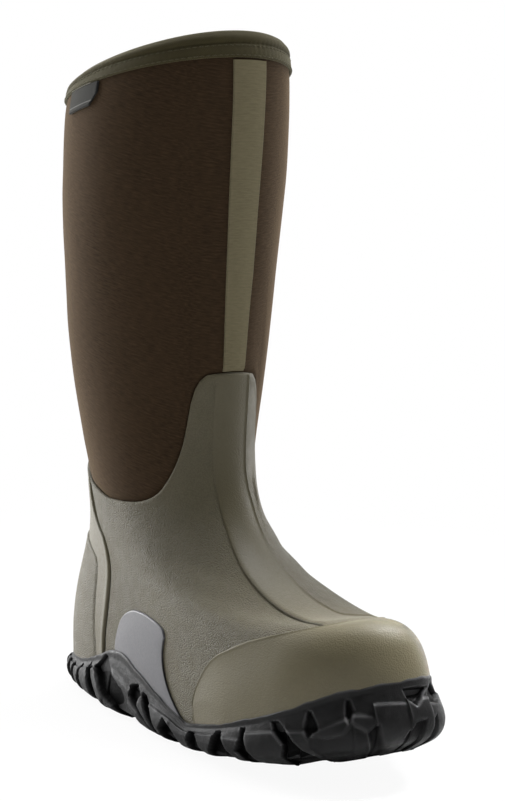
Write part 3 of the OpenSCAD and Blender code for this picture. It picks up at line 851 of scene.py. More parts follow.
def toe_cap():
    S, T = grid(mix(105.2, 254.8, border(190, 330.0)), border(86, 70.0))
    v = turn(S)
    bottom = sole_line(v) - 0.1
    u = mix(bottom, np.maximum(bottom + 0.12, CAP(np.abs(v))), T)
    o = Overlay(u, v)
    d = np.minimum(np.minimum(o.start, o.end), o.high)
    soft = 0.55 + 0.45 * ease(np.abs(np.abs(v) - 128) / 12.0)
    ridge = 0.32 * bell(d - 0.9, 0.6)
    dome = 1.3 * ease(d / 30)
    height = (-0.12 + soft * (0.85 * rounded(d, 0.9) + ridge) + dome
              + 0.16 * vnoise(o.points, 30.0) * ease(d / 8))
    attach(o.build("toe_cap_overlay", height, CAP_MAT), "foot", "toe_cap")


# upper edge of an arch wing: share of its length from the rear; angle, then u
WING_V = Curve([
    [0.0, 70], [0.1, 71.2], [0.25, 74.6], [0.4, 79], [0.52, 82.6], [0.66, 87.2], [0.8, 91.6],
    [0.92, 94.5], [1, 95.1]])
WING_U = Curve([
    [0.0, 1.25], [0.08, 1.52], [0.2, 1.9], [0.35, 2.16], [0.47, 2.27], [0.6, 2.29],
    [0.75, 2.23], [0.88, 2.13], [0.95, 2.04], [1, 1.9]])


def wing(side, node):
    marks = (0, 0.1, 0.3, 0.6, 1.0, 1.6)
    S, T = grid(border(56, 60.0, marks), border(64, 50.0, marks))
    low_v = mix(69.6, 102.6, S)
    u = mix(sole_line(low_v) - 0.1, WING_U(S), T)
    # the front edge bows to the rear
    v = side * (mix(low_v, WING_V(S), T) - 4.6 * S ** 3 * 4 * T * (1 - T))
    o = Overlay(u, v)
    d = np.minimum(np.where(S < 0.5, o.start, o.end), o.high)
    height = -0.15 + 1.35 * rounded(d, 1.0) + 0.25 * ease(d / 12)
    # painted shade: a dark shadow line along the front edge, and darker low down by the sole
    painted_shade = bell(o.end, 0.5) * ease(o.high / 2.0) + 0.35 * bell(o.low, 2.5)
    attach(o.build(node + "_overlay", height, WING_MAT, painted_shade=painted_shade), "foot", node)


def instep_band():
    marks = (0, 0.12, 0.35, 0.7, 1.1, 1.6, 2.4, 3.4)
    # columns run from the outer edge to the inner edge
    S, T = grid(border(48, 40.0, marks), border(190, 190.0))
    v = mix(-163, -197, 1 - S)
    for _ in range(3):
        u = mix(2.62, topline(v) - 0.012, T)
        v = -180 + mix(-BAND_IN(u), BAND_OUT(u), 1 - S)
    o = Overlay(u, v)
    outer_height = np.interp(u, [2.6, 3.2, 4.4, 5.2, 6.2, 7.8], [1.2, 1.5, 1.35, 0.85, 0.45, 0.3])
    outer = outer_height * rounded(o.start, 3.2)
    inner = 1.2 * rounded(o.end, 0.7) + 0.85 * bell(o.end - 0.95, 0.65)
    share = o.start / (o.start + o.end)
    base = mix(outer, inner, ease(share))
    puff = 0.45 * np.sin(np.pi * share) * np.interp(u, [2.6, 3.6, 5.4, 7], [1, 1, 0.6, 0.2])
    height = (-0.12 + (base + puff) * rounded(o.high + 0.05, 0.9)
              * (0.25 + 0.75 * ease(o.low / 9)))
    attach(o.build("instep_band_overlay", height, BAND_MAT), "ankle", "instep_band")


shell()
heel_band()
heel_panel()
toe_cap()
wing(-1, "outer_arch_wing")
wing(1, "inner_arch_wing")
instep_band()


# ---------------------------------------------------------------------------
# lugged outsole: a wrapped sidewall with recesses, a cut tread, a closed floor
# ---------------------------------------------------------------------------
def slit(angle, lean, top, half_width=0.75):
    """outline of a narrow recess that widens downwards"""
    return [(angle - half_width, top), (angle + half_width, top - 0.04),
            (angle + half_width + lean * 0.6, 0.5), (angle + 1.3 + lean * 1.2, -0.1),
            (angle - 1.3 + lean * 1.2, -0.1), (angle - half_width + lean * 0.4, 0.5)]


# recesses cut on both sides: outline as (degrees from the heel, share of the wall height), depth
RECESSES = [
    (slit(7.5, 0.5, 0.80), 3.2), (slit(17, 0.8, 0.80), 3.2), (slit(26, 1.0, 0.80), 3.4),
    (slit(34, 0.8, 0.80), 3.4), (slit(41.8, 0.6, 0.82, 0.85), 3.6),
    ([(49.8, 0.86), (48.0, 0.64), (47.6, 0.5), (48.6, 0.3), (49, -0.1), (54.0, -0.1),
      (52.0, 0.3), (50.2, 0.5), (49.6, 0.66), (50.8, 0.84)], 3.8),
    ([(56.6, 0.90), (55.0, 0.74), (55.6, 0.6), (57.4, 0.42), (58.5, 0.2), (59, -0.1),
      (68, -0.1), (66, 0.26), (62.5, 0.48), (58.6, 0.64), (57.2, 0.8)], 4.4),
    ([(65.8, 0.97), (59.6, 0.80), (61.8, 0.66), (66.5, 0.50), (70.5, 0.36), (72.5, 0.2),
      (74, -0.1), (88.5, -0.1), (87, 0.25), (83.2, 0.49), (76.5, 0.63), (71.8, 0.69),
      (69.2, 0.78), (67.6, 0.9)], 5.2),
    ([(83.6, 0.86), (80.4, 0.73), (79.8, 0.63), (84.6, 0.53), (88.2, 0.36), (89.5, 0.2),
      (89.6, 0.34), (87, 0.5), (84.2, 0.6), (85.0, 0.75)], 4.4),
    ([(86.4, 0.82), (85.6, 0.74), (87.0, 0.6), (89.4, 0.42), (91.5, 0.2), (92, -0.1),
      (95.5, -0.1), (93.5, 0.3), (91.2, 0.5), (89.0, 0.7), (87.6, 0.81)], 4.2),
    ([(95.7, 0.70), (93.8, 0.45), (94.6, 0.2), (95.8, -0.1), (104, -0.1), (101.6, 0.3),
      (99.7, 0.5), (97.2, 0.64)], 5.0),
    ([(105.4, 0.76), (104.6, 0.45), (105.6, 0.2), (106.5, -0.1), (114.5, -0.1), (111.2, 0.27),
      (108.9, 0.4), (108.1, 0.56), (107.1, 0.74)], 5.0),
    ([(115.1, 0.85), (113.6, 0.6), (112.6, 0.38), (113.5, 0.15), (115, -0.1), (125.5, -0.1),
      (121.6, 0.34), (118.9, 0.53), (117.2, 0.7), (116.4, 0.85)], 4.6),
    ([(123.2, 0.87), (122.8, 0.65), (121.9, 0.48), (124.0, 0.3), (127, -0.1), (133, -0.1),
      (128.6, 0.34), (126.2, 0.5), (125.1, 0.65), (124.5, 0.86)], 4.6),
    ([(133.2, 0.88), (133.8, 0.72), (136.4, 0.54), (136.0, 0.36), (139, -0.1), (151, -0.1),
      (146, 0.24), (141.8, 0.42), (139.2, 0.58), (135.4, 0.84)], 4.8),
    ([(143.8, 0.90), (142.6, 0.66), (143.4, 0.56), (146.6, 0.62), (145.0, 0.86)], 3.8),
    ([(143.6, 0.57), (149, 0.53), (153.5, 0.54), (156, 0.63), (160.6, 0.50), (161, 0.25),
      (161, 0.0), (150, 0.0), (146.5, 0.26), (143.6, 0.42)], 1.7),
    ([(155.3, 0.90), (154.6, 0.68), (155.6, 0.62), (157.6, 0.73), (156.5, 0.88)], 3.4),
    ([(160.4, 0.50), (161.2, 0.2), (161.5, -0.1), (167, -0.1), (165, 0.33), (163.6, 0.57)], 3.4),
]
# the toe is not mirrored: signed angles, running past -180 on to the inner side
TOE_RECESSES = [
    ([(-174.2, 0.90), (-187.0, 0.87), (-178.4, 0.66), (-175.2, 0.74)], 4.2),
    ([(-191.8, 0.91), (-187.0, 0.82), (-184.6, 0.69), (-191.0, 0.67), (-195.5, 0.78)], 3.8),
    ([(-176.5, 0.5), (-173, 0.3), (-172, -0.1), (-179, -0.1), (-180.5, 0.3), (-181.6, 0.52)], 3.0),
    ([(-186, 0.5), (-184, 0.3), (-186, -0.1), (-192, -0.1), (-190, 0.3), (-188, 0.55)], 3.0),
]
TOE_MM_PER_DEGREE, TOE_WALL_HEIGHT = 1.55, 42.0
# angles that part one lug from the next
LUG_MARKS = np.array([-1, 7.5, 17, 26, 34, 42, 50, 58, 67, 80, 89, 98, 107, 117, 125, 137, 145,
                      156, 163, 175, 187])
FLOOR_HEIGHT = 6      # of the sole's inside, over the ground line
GROOVE_DEPTH = 4.2    # of the cuts in the tread
BAR_PITCH = 17.0      # of the tread's cross bars


def polygon_distance(px, py, polygon):
    """signed distance to a polygon, negative inside"""
    q = np.array(polygon, float)
    d = np.full(px.shape, 1e9)
    inside = np.zeros(px.shape, bool)
    for a, b in zip(q, np.roll(q, -1, axis=0)):
        ex, ey = b - a
        wx, wy = px - a[0], py - a[1]
        t = np.clip((wx * ex + wy * ey) / (ex * ex + ey * ey + 1e-12), 0, 1)
        d = np.minimum(d, np.hypot(wx - t * ex, wy - t * ey))
        crossing = (b[0] - a[0]) * (py - a[1]) / (b[1] - a[1] + 1e-12) + a[0]
        inside ^= ((a[1] > py) != (b[1] > py)) & (px < crossing)
    return np.where(inside, -d, d)


def edge_roll(x):
    """how far the tread of the forefoot curves up at its edge"""
    return 3.2 * bell(x - 220, 36)


def wall_points(v, share):
    """the plain sidewall: a smooth curve up through five control points per column"""
    x = last(0, v)[..., 0]
    t, roll, top = toe_rise(x), edge_roll(x), sole_line(v)
    c = np.stack([rim(0, v, -6.5 - 5 * t - 1.2 * roll, roll),
                  rim(0, v, 2.9, 4.4 + 0.8 * t + 0.35 * roll), rim(0, v, 5.9, 11 + 4 * t),
                  at(top * 0.6, v, 4.6), at(top - 0.02, v, 2.3)], 1)
    c = np.concatenate([2 * c[:, :1] - c[:, 1:2], c, 2 * c[:, 4:] - c[:, 3:4]], 1)
    k = share * 4
    i = np.clip(np.floor(k).astype(int), 0, 3)
    f = (k - i)[:, None]
    a, b, c, d = (c[:, i + step] for step in range(4))
    return 0.5 * (2 * b + (-a + c) * f + (2 * a - 5 * b + 4 * c - d) * f ** 2
                  + (-a + 3 * b - 3 * c + d) * f ** 3)


def recess_depth(V, T, wall):
    """depth of the recesses over the wall, with slightly wandering outlines"""
    depth = np.zeros(V.shape)
    warp_x, warp_y = 0.55 * vnoise(wall, 7.0), 0.55 * vnoise(wall + 91.0, 7.0)
    cols = V[:, 0]
    front = cols >= 0
    heights = np.linalg.norm(np.diff(wall, axis=1), axis=-1).sum(1)
    scales = mm_per_degree(0.3, cols)

    def carve(angle, polygon, amount, scale, height):
        angles = [q[0] for q in polygon]
        sel = (angle > min(angles) - 3) & (angle < max(angles) + 3)
        sd = polygon_distance(angle[sel] * scale + warp_x[sel], T[sel] * height + warp_y[sel],
                              [(a * scale, b * height) for a, b in polygon])
        depth[sel] = np.maximum(depth[sel], amount * ease((0.45 - sd) / 1.7))

    for polygon, amount in RECESSES:
        centre = np.mean([q[0] for q in polygon])
        carve(np.abs(V), polygon, amount, np.interp(centre, cols[front], scales[front]),
              np.interp(centre, cols[front], heights[front]))
    depth[V > 166] = 0
    around = np.where(V > 0, V - 360, V)
    for polygon, amount in TOE_RECESSES:
        carve(around, polygon, amount, TOE_MM_PER_DEGREE, TOE_WALL_HEIGHT)
    return depth * np.where(np.abs(V) > 141, 0.72, 1.0)


def lug_relief(V, T, wall):
    """each lug leans a little its own way, under a bevelled ledge"""
    rng = np.random.default_rng(9)
    count = len(LUG_MARKS)
    push = rng.uniform(-0.7, 0.5, count)
    lean = rng.uniform(-1.25, 1.25, count)
    shift = rng.uniform(-0.05, 0.05, count)
    k = np.clip(np.searchsorted(LUG_MARKS, np.abs(V)) - 1, 0, count - 2)
    lo, hi = LUG_MARKS[k], LUG_MARKS[k + 1]
    place = (np.abs(V) - (lo + hi) / 2) / ((hi - lo) / 2)
    lug = ((push[k] + lean[k] * place) * ease((0.82 - T) / 0.25)
           * ease((1.15 - np.abs(place)) / 0.3))
    facet = 0.45 * vnoise(wall, 13.0) * ease((0.95 - T) / 0.2)
    ledge = np.interp(np.abs(V), [0, 50, 60, 100, 110, 180], [0.74, 0.78, 0.8, 0.72, 0.72, 0.74])
    ledge = ledge + shift[k] + 0.03 * place * np.sign(lean[k])
    return lug + facet + 1.15 * ease((ledge - T) / 0.045)


def outsole():
    half = np.concatenate([np.arange(0, 56, 0.42), np.arange(56, 180.01, 0.34)])
    half[-1] = 180.0
    n = len(half) - 1
    cols = two_sides(half)
    shares = np.linspace(1, 0, 62)
    V, T = grid(cols, shares)
    P = wall_points(cols, shares)
    depth = recess_depth(V, T, P)
    # painted shade: the recesses are darkened in the colour, deeper ones more
    cave = np.clip(depth / 3.4, 0, 1)
    # painted shade under the undercut, low on the wall
    under = ease((0.27 - T) / 0.16)
    push = unit(np.cross(np.gradient(P, axis=0), np.gradient(P, axis=1)))
    if (push[..., :2] * (P[..., :2] - (MIDDLE[0], 0.0))).sum() < 0:
        push = -push
    # low on the wall the relief is cut level
    push[..., 2] *= ease((T - 0.25) / 0.3)
    push = unit(push)
    relief = (lug_relief(V, T, P) - depth - 0.9) * ease((1.0 - T) / 0.10)
    top_soft = ease((1.0 - T) / 0.02) * 0.35 - 0.35
    P = P + (relief + top_soft)[..., None] * push
    # low irregular scallops along the upper edge
    scallop = 0.9 * vnoise(P * [1, 1, 0] + 17.0, 11.0) + 0.55 * vnoise(P * [1, 1, 0], 5.0)
    P[..., 2] += (scallop + 0.45) * ease((T - 0.9) / 0.1)
    # recesses run on under the sole
    notch = np.clip(depth[:, -1] / 4.4, 0, 1)
    P[:, -1, 2] += GROOVE_DEPTH * notch
    P[:, -2, 2] += 2.72 * notch
    P[..., 2] = np.maximum(P[..., 2], ground(P[..., 0]))
    top = sole_line(cols)
    lip = np.stack([rim(0, cols, 0.15, FLOOR_HEIGHT), at(0, cols, 0.15),
                    at(top * 0.5, cols, 0.15), at(top - 0.015, cols, 0.15),
                    at(top + 0.006, cols, 0.9), at(top + 0.002, cols, 1.6)], 1)
    i = np.arange(1, n)
    outer_notch, inner_notch = notch[n - i, None], notch[n + i, None]

    def floor_height(points, from_outer, from_inner):
        return ground(points[..., 0]) + FLOOR_HEIGHT

    def tread_height(points, from_outer, from_inner):
        x, y = points[..., 0], points[..., 1]
        reach = np.interp(x, [0, 60, 100, 200, 300], [13, 17, 15, 21, 20])
        side = np.maximum(outer_notch * ease((reach - from_outer) / 2.2),
                          inner_notch * ease((reach - from_inner) / 2.2))
        inset = np.minimum(from_outer, from_inner)
        channel = ease(1.9 - np.abs(inset - reach - 1.6)) * ease((inset - 6) / 3)
        off_middle = np.abs(y - swing(x))
        phase = np.mod(x + 0.55 * off_middle + 3.0, BAR_PITCH)
        bar = ease(1.9 - np.abs(phase - BAR_PITCH / 2))
        spine = ease(1.7 - off_middle) * (np.mod(np.floor((x + 3) / BAR_PITCH), 2) == 0)
        centre = np.maximum(bar, spine) * ease((inset - reach - 1.0) / 1.5)
        cut = GROOVE_DEPTH * np.maximum(np.maximum(side, channel), centre)
        rough = 0.12 * (1 + vnoise(points, 6.0))
        return ground(x) + edge_roll(x) + np.clip(cut + rough, 0, 4.3)

    # painted shade for the colour: none on the lip; recesses and undercut on the wall
    painted_shade = np.concatenate([np.zeros(lip.shape[:2]), np.maximum(cave, under)], 1)
    ob = plated("lugged_outsole", np.concatenate([lip, P], 1),
                ((6, floor_height), (60, tread_height)), SOLE_MAT, 34, painted_shade)
    attach(ob, "foot", "outsole")


outsole()

# ---------------------------------------------------------------------------
# neoprene shaft, linings, stiffeners, seam tapes
# ---------------------------------------------------------------------------
SHAFT_LOW, SHAFT_TOP = 5.25, 11.84   # u
FOOT_TOP = 5.2                       # u, top of the foot's inner layers
TAPE_TOP = 11.19                     # u


def even_columns(step):
    return np.arange(-180, 179.99, step)


def sleeve_offset(u, v, points, slack=0.0):
    """outside of the sleeve: tucked inside the rubber, full above it, softly uneven"""
    h = u - topline(v)
    d = np.where(h < 0.0, -2.4, -2.4 + 1.35 * ease((h + 0.01) / 0.09))
    d = np.where(h > 0.08, -1.05 + 1.05 * ease((h - 0.08) / 1.3), d)
    uneven = 0.5 * vnoise(points, 46.0) + 0.2 * vnoise(points + 33.0, 19.0)
    return d + (uneven + slack) * ease((h - 0.25) / 0.8) * ease((11.5 - u) / 0.8)


def sleeve():
    v = even_columns(1.25)[:, None]
    top = topline(v)
    steps = np.concatenate([[0.015, 0.06, 0.12, 0.2, 0.3], np.linspace(0.42, 1.0, 6)])
    u = np.concatenate([mix(SHAFT_LOW, top - 0.12, np.linspace(0, 1, 22)), top - 0.03,
                        top + steps, mix(top + 1.0, SHAFT_TOP, np.linspace(0, 1, 84)[1:])], 1)
    p0 = last(u, v)
    # slack folds just above the rubber
    slack = 0.35 * bell(u - top - 0.75, 0.4) * vnoise(p0 * np.array([1.0, 1.0, 0.35]) + 12.0, 22.0)
    outer = p0 + sleeve_offset(u, v, p0, slack)[..., None] * normal(u, v)
    inner = at(mix(SHAFT_LOW, SHAFT_TOP, np.linspace(1, 0, 40)), v, -5.4)
    ob = sweep("neoprene_shaft", np.concatenate([outer, inner], 1), True, SLEEVE_MAT, 60)
    attach(ob, "ankle", "shaft_sleeve")


def tube(name, node, low, top, outside, inside, mat, rows, step, noise=0.0):
    """a layer between two offsets, uneven on the inside"""
    u = mix(low, top, np.linspace(0, 1, rows))[None]
    v = even_columns(step)[:, None]
    p0, out = last(u, v), normal(u, v)
    depth = inside + noise * vnoise(p0 + 7.0, 14.0)
    inner = (p0 + depth[..., None] * out)[:, ::-1]
    ob = sweep(name, np.concatenate([p0 + outside * out, inner], 1), True, mat, 60)
    attach(ob, "ankle", node)


def stiffener(name, node, motion, angles, top):
    S, T = grid(border(40, 100.0), border(34, 80.0))
    v = mix(*angles, S)
    o = Overlay(mix(0.45, top(v), T), v)
    d = np.minimum(np.minimum(o.start, o.end), np.minimum(o.low, o.high))
    attach(o.build(name, -7.15 + 0.7 * ease(d / 9), STIFF_MAT, back=-7.3), motion, node)


def seam_tape(name, node, motion, centre, half_width):
    """a strip up the sleeve; half_width gives degrees for u"""
    S, T = grid(border(26, 23.0, (0, 0.1, 0.28, 0.55, 0.9, 1.4)),
                border(150, 210.0, (0, 0.2, 0.5, 1.0)))
    S = 2 * S - 1
    u = mix(topline(centre + S * 10.3) + 0.02, TAPE_TOP, T)
    v = centre + S * half_width(u)
    u = mix(topline(v) + 0.015, TAPE_TOP, T)
    o = Overlay(u, v)
    d = np.minimum(o.start, o.end)
    height = (sleeve_offset(u, v, o.points) + 0.15 + 1.0 * rounded(d, 0.85)
              + 0.16 * bell(d - 0.7, 0.45))
    # a back beyond any height keeps the tape thin all over
    attach(o.build(name, height, TAPE_MAT, back=9.0), motion, node)


sleeve()
tube("shaft_lining_knit", "shaft_lining", SHAFT_LOW, SHAFT_TOP, -5.56, -6.66, LINING_MAT,
     rows=90, step=1.8, noise=0.2)
tube("foot_lining_knit", "foot_lining", 0.26, FOOT_TOP, -7.5, -8.55, LINING_MAT,
     rows=60, step=1.8, noise=0.2)
tube("foot_bootie_foam", "foot_bootie", 0.12, FOOT_TOP, -2.45, -6.15, FOAM_MAT,
     rows=60, step=2.0)
stiffener("heel_stiffener_sheet", "heel_stiffener", "ankle", (-60, 60),
          lambda v: 3.6 - 1.2 * (v / 60) ** 2)
stiffener("toe_puff_sheet", "toe_puff", "foot", (118, 242),
          lambda v: 2.35 - 1.1 * ((v - 180) / 62) ** 2)
seam_tape("front_seam_strip", "front_seam_tape", "shaft", 180.0,
          Curve([[7.0, 9.6], [7.8, 9.8], [9.0, 10.2], [10.2, 10.6], [11.3, 10.9]]))
seam_tape("rear_seam_strip", "rear_seam_tape", "ankle", 0.0,
          Curve([[6.0, 8.6], [9, 8.8], [11.3, 9.0]]))

# ---------------------------------------------------------------------------
# collar binding, stitches, label
# ---------------------------------------------------------------------------
STITCH, STITCH_GAP = 2.7, 0.9
# section of the binding, up the outside, over the rim and down the inside: u, offset, rise
BINDING = [
    (11.245, 0.10, 0), (11.235, 0.75, 0), (11.245, 1.2, 0), (11.265, 1.42, 0), (11.30, 1.5, 0),
    (11.34, 1.52, 0), (11.43, 1.58, 0), (11.52, 1.56, 0), (11.57, 1.42, 0), (11.60, 1.12, 0),
    (11.62, 0.95, 0), (11.64, 1.05, 0), (11.67, 1.5, 0), (11.72, 2.0, 0), (11.78, 2.3, 0),
    (11.85, 2.4, 0), (11.92, 2.2, 0), (12.0, 1.5, 0.1), (12.0, 0.7, 1.0), (12.0, -0.6, 1.55),
    (12.0, -2.4, 1.7), (12.0, -4.2, 1.6), (12.0, -5.8, 1.3), (12.0, -7.2, 0.7),
    (12.0, -8.1, -0.4), (11.92, -8.45, 0), (11.8, -8.5, 0), (11.66, -8.35, 0),
    (11.56, -8.1, 0), (11.50, -7.8, 0), (11.495, -7.3, 0), (11.51, -6.95, 0), (11.7, -6.8, 0),
    (11.9, -6.8, 0), (11.9, -3.0, 0), (11.9, 0.02, 0), (11.6, 0.05, 0), (11.4, 0.05, 0)]
# for the first points of the section: pull of the stitches, and softness
BINDING_PULL = [0, .3, .8, 1, 1, .6, .3, .5, .9, 1, 1, 1, .9, .6, .35, .15]
BINDING_SOFT = [0, 0, .2, .4, .5, .6, .7, .7, .6, .5, .4, .5, .7] + [1] * 11 + [.6]


def binding():
    cols = even_columns(0.75)
    p = np.stack([at(u, cols, offset, rise) for u, offset, rise in BINDING], 1)
    arc = arcs(at(11.6, cols)[:, None], 0)[:, 0]
    pull_share, soft_share = (np.pad(w, (0, len(BINDING) - len(w)))
                              for w in (BINDING_PULL, BINDING_SOFT))
    # stitches pull the tape in, and it swells a little between them
    pull = 0.09 * np.cos(arc / (STITCH + STITCH_GAP) * 2 * np.pi)
    shift = pull[:, None] * pull_share + 0.3 * vnoise(p, 26.0) * soft_share
    p = p + shift[..., None] * normal(11.5, cols)[:, None]
    attach(sweep("collar_binding_tape", p, True, BINDING_MAT, 60), "shaft", "collar_binding")


def stitches(name, node, u, offset, length=STITCH, gap=STITCH_GAP, radius=0.27, mat=THREAD_MAT,
             angles=(-180.0, 180.0), motion="shaft", sink=0.1):
    vs = np.linspace(*angles, 2400)
    path, out = at(u, vs, offset), normal(u, vs)
    arc = arcs(path[:, None], 0)[:, 0]
    count = int(arc[-1] // (length + gap))
    pitch = arc[-1] / count
    sides, rings = 8, 6
    ts = np.linspace(0, 1, rings)
    thick = np.sin(np.pi * np.clip(ts * 0.94 + 0.03, 0, 1)) ** 0.45
    hump = np.sin(np.pi * ts) * 0.22 - sink
    verts, faces = [], []
    for i in range(count):
        along = i * pitch + gap / 2 + ts * (pitch - gap)
        c = np.stack([np.interp(along, arc, path[:, k]) for k in range(3)], 1)
        up = unit(np.stack([np.interp(along, arc, out[:, k]) for k in range(3)], 1))
        run = unit(np.gradient(c, axis=0))
        across = unit(np.cross(up, run))
        base = len(verts)
        for k in range(rings):
            for q in range(sides):
                angle = 2 * np.pi * q / sides
                verts.append(c[k] + up[k] * (hump[k] + radius * thick[k] * np.cos(angle))
                             + across[k] * (radius * 1.15 * thick[k] * np.sin(angle)))
        faces += [tuple(base + x for x in f) for f in quads(rings - 1, sides, rings, sides)]
        first, final = len(verts), base + (rings - 1) * sides
        verts.append(c[0] - run[0] * 0.15 + up[0] * (hump[0] - 0.05))
        verts.append(c[-1] + run[-1] * 0.15 + up[-1] * (hump[-1] - 0.05))
        for q in range(sides):
            q2 = (q + 1) % sides
            faces.append((first, base + q2, base + q))
            faces.append((first + 1, final + q, final + q2))
    ob = make(name, np.array(verts), faces, None, mat, 70)
    project_uv(ob, [0, 2])
    attach(ob, motion, node)


def label():
    """a folded woven label, blank, hanging from under the binding"""
    width, height = 24.0, 13.0

    def spaced(length, count):
        return np.concatenate([[0, 0.15, 0.5], np.linspace(1.0, length - 1.0, count - 6),
                               [length - 0.5, length - 0.15, length]])

    xs, ys = spaced(width, 46), spaced(height, 30)
    X, Y = grid(xs, ys)
    # the lower corners are a little rounded, and the far side slants in
    corner = 1.6
    low = np.clip(1 - Y / corner, 0, 1)
    inset = corner * (1 - np.sqrt(np.clip(1 - low * low, 0, 1)))
    across = np.where(X < width / 2, np.maximum(X, inset), np.minimum(X, width - inset))
    across = np.minimum(across, width - 5.2 * np.clip(1 - Y / 6.5, 0, 1))
    v = -75.6 - across / width * 23.2
    # height runs down from the binding, measured along the shaft
    levels = np.linspace(11.215, 10.25, 80)
    run = arcs(last(levels[:, None, None], v[None]), 0)
    u = np.zeros_like(v)
    for a, b in np.ndindex(v.shape):
        u[a, b] = np.interp(height - Y[a, b], run[:, a, b], levels)
    d = np.minimum(np.minimum(X, width - X), np.minimum(Y, height - Y + 5))
    hang = 0.35 * ease((height - Y) / height)
    fold = 0.25 * bell(Y - 1.0, 0.8)
    weave = 0.05 * np.cos(X * 2 * np.pi / 1.4) * ease(d)
    offset = 0.62 + hang + 0.9975 * rounded(d + 0.02, 0.55) + fold + weave
    inner = at(u, v, np.minimum(0.5 + hang, offset - 0.06))
    p = np.concatenate([at(u, v, offset), inner[:, ::-1]], 1)
    ob = sweep("blank_label_tag", p, False, TAG_MAT, 45)
    # one plain woven line near the lower edge
    me = ob.data
    me.materials.append(TAG_LINE_MAT)
    slots = np.zeros(len(me.polygons), np.int32)
    for j in range(3, len(xs) - 4):
        for i in range(len(ys) - 1):
            if 2.35 < 0.5 * (ys[i] + ys[i + 1]) < 2.85:
                slots[j * p.shape[1] + i] = 1
    me.polygons.foreach_set("material_index", slots)
    attach(ob, "tag", "label_tag")


binding()
stitches("binding_thread_upper", "binding_stitch_upper", 11.545, 1.62)
stitches("binding_thread_lower", "binding_stitch_lower", 11.285, 1.62)
label()
stitches("tag_thread", "tag_stitch", 11.225, 1.92, length=1.7, gap=0.7, radius=0.2,
         mat=TAG_THREAD_MAT, angles=(-94.0, -76.5), motion="tag", sink=0.12)


# ---------------------------------------------------------------------------
# footbed and the boards under it
# ---------------------------------------------------------------------------
def insole(name, node, motion, mat, offset, low, high, u=0.25, cup=0.0, arch=0.0, uneven=0.0):
    """a flat layer; cup raises its heel edge and arch its inner edge"""
    cols = two_sides(np.linspace(0, 180, 91))
    edge = [(-0.9, high), (-0.25, high - 0.2), (0.0, high - 0.7), (0.0, low + 0.7),
            (-0.25, low + 0.2), (-0.9, low)]
    ring = np.stack([rim(u, cols, offset + out, height) for out, height in edge], 1)

    def lift(x, y, inset):
        near = ease(1 - inset / 9.0)
        return (cup * near * ease((95 - x) / 60)
                + arch * near * bell(x - 108, 32) * (y > swing(x)))

    def top_height(points, from_outer, from_inner):
        x, y = points[..., 0], points[..., 1]
        z = ground(x) + high
        return (z + lift(x, y, np.minimum(from_outer, from_inner))
                + uneven * vnoise(np.stack([x, y, z], -1), 9.0))

    def bottom_height(points, from_outer, from_inner):
        return ground(points[..., 0]) + low

    ring[:, :3, 2] += lift(ring[:, :3, 0], ring[:, :3, 1], 0)
    ob = plated(name, ring, ((26, top_height), (26, bottom_height)), mat, 50)
    project_uv(ob, [1, 0])
    attach(ob, motion, node)


insole("bootie_bottom_foam", "bootie_bottom", "foot", FOAM_MAT, -6.9, 12.7, 16.2, u=0.15)
insole("moulded_footbed", "footbed", "loose_footbed", BED_MAT, -11.2, 16.5, 20.9,
       cup=2.2, arch=1.6)
insole("footbed_knit_cover", "footbed_cover", "loose_footbed", COVER_MAT, -11.25, 21.0, 22.0,
       cup=2.2, arch=1.6, uneven=0.12)

# CAD pieces kept as they are, with new materials
for node, mat in (("midsole", MIDSOLE_MAT), ("arch_shank", SHANK_MAT),
                  ("insole_board", BOARD_MAT)):
    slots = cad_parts[node].data.materials
    slots.clear()
    slots.append(mat)


# ---------------------------------------------------------------------------
# floor
# ---------------------------------------------------------------------------
def floor_material():
    """near-white; glows more with distance and for the camera, to melt into the background"""
    s = Shader("studio_floor", "Object")
    broad = s.noise(scale=3.0, detail=2)
    s.set(color=s.blend(s.ramp(broad), (0.90, 0.90, 0.90), (0.92, 0.92, 0.92)),
          rough=0.55, spec=0.3)
    s.bump(s.noise(scale=260), strength=0.05, distance=0.0004)
    place = s.new("ShaderNodeNewGeometry")
    distance = s.new("ShaderNodeVectorMath", operation="LENGTH")
    s.link(place.outputs["Position"], distance.inputs[0])
    glow = s.new("ShaderNodeEmission")
    glow.inputs["Color"].default_value = (1, 1, 1, 1)
    glow.inputs["Strength"].default_value = 1.0
    blend = s.new("ShaderNodeMixShader")
    fade = s.ramp(distance.outputs["Value"], span=(0.2, 0.7), to=(0.93, 1.0))
    ray = s.new("ShaderNodeLightPath").outputs["Is Camera Ray"]
    s.link(s.times(fade, s.ramp(ray, span=(0.0, 1.0), to=(0.12, 1.0))), blend.inputs[0])
    s.link(s.surface.outputs[0], blend.inputs[1])
    s.link(glow.outputs[0], blend.inputs[2])
    s.link(blend.outputs[0], s.tree.nodes["Material Output"].inputs["Surface"])
    return s.material


def studio_floor():
    half = 14.0   # metres
    mat = floor_material()
    me = bpy.data.meshes.new("studio_floor")
    me.from_pydata([(-half, -half, 0), (half, -half, 0), (half, half, 0), (-half, half, 0)],
                   [], [(0, 1, 2, 3)])
    me.materials.append(mat)
    floor = bpy.data.objects.new("studio_floor", me)
    floor.location = (0, 0, -0.0002)
    bpy.context.scene.collection.objects.link(floor)


studio_floor()

# ---------------------------------------------------------------------------
# camera
# ---------------------------------------------------------------------------
# the eye stands off the point x = 100 mm on the last, towards the toe and the outer side
AIM_X, EYE_DISTANCE, EYE_HEIGHT = 100, 1251.5, 352.5
AZIMUTH, YAW, PITCH, ROLL = (math.radians(x) for x in (34.6, 1.55, 7.31, 2.26))
FOCAL_LENGTH, SENSOR_WIDTH = 93.8382, 36

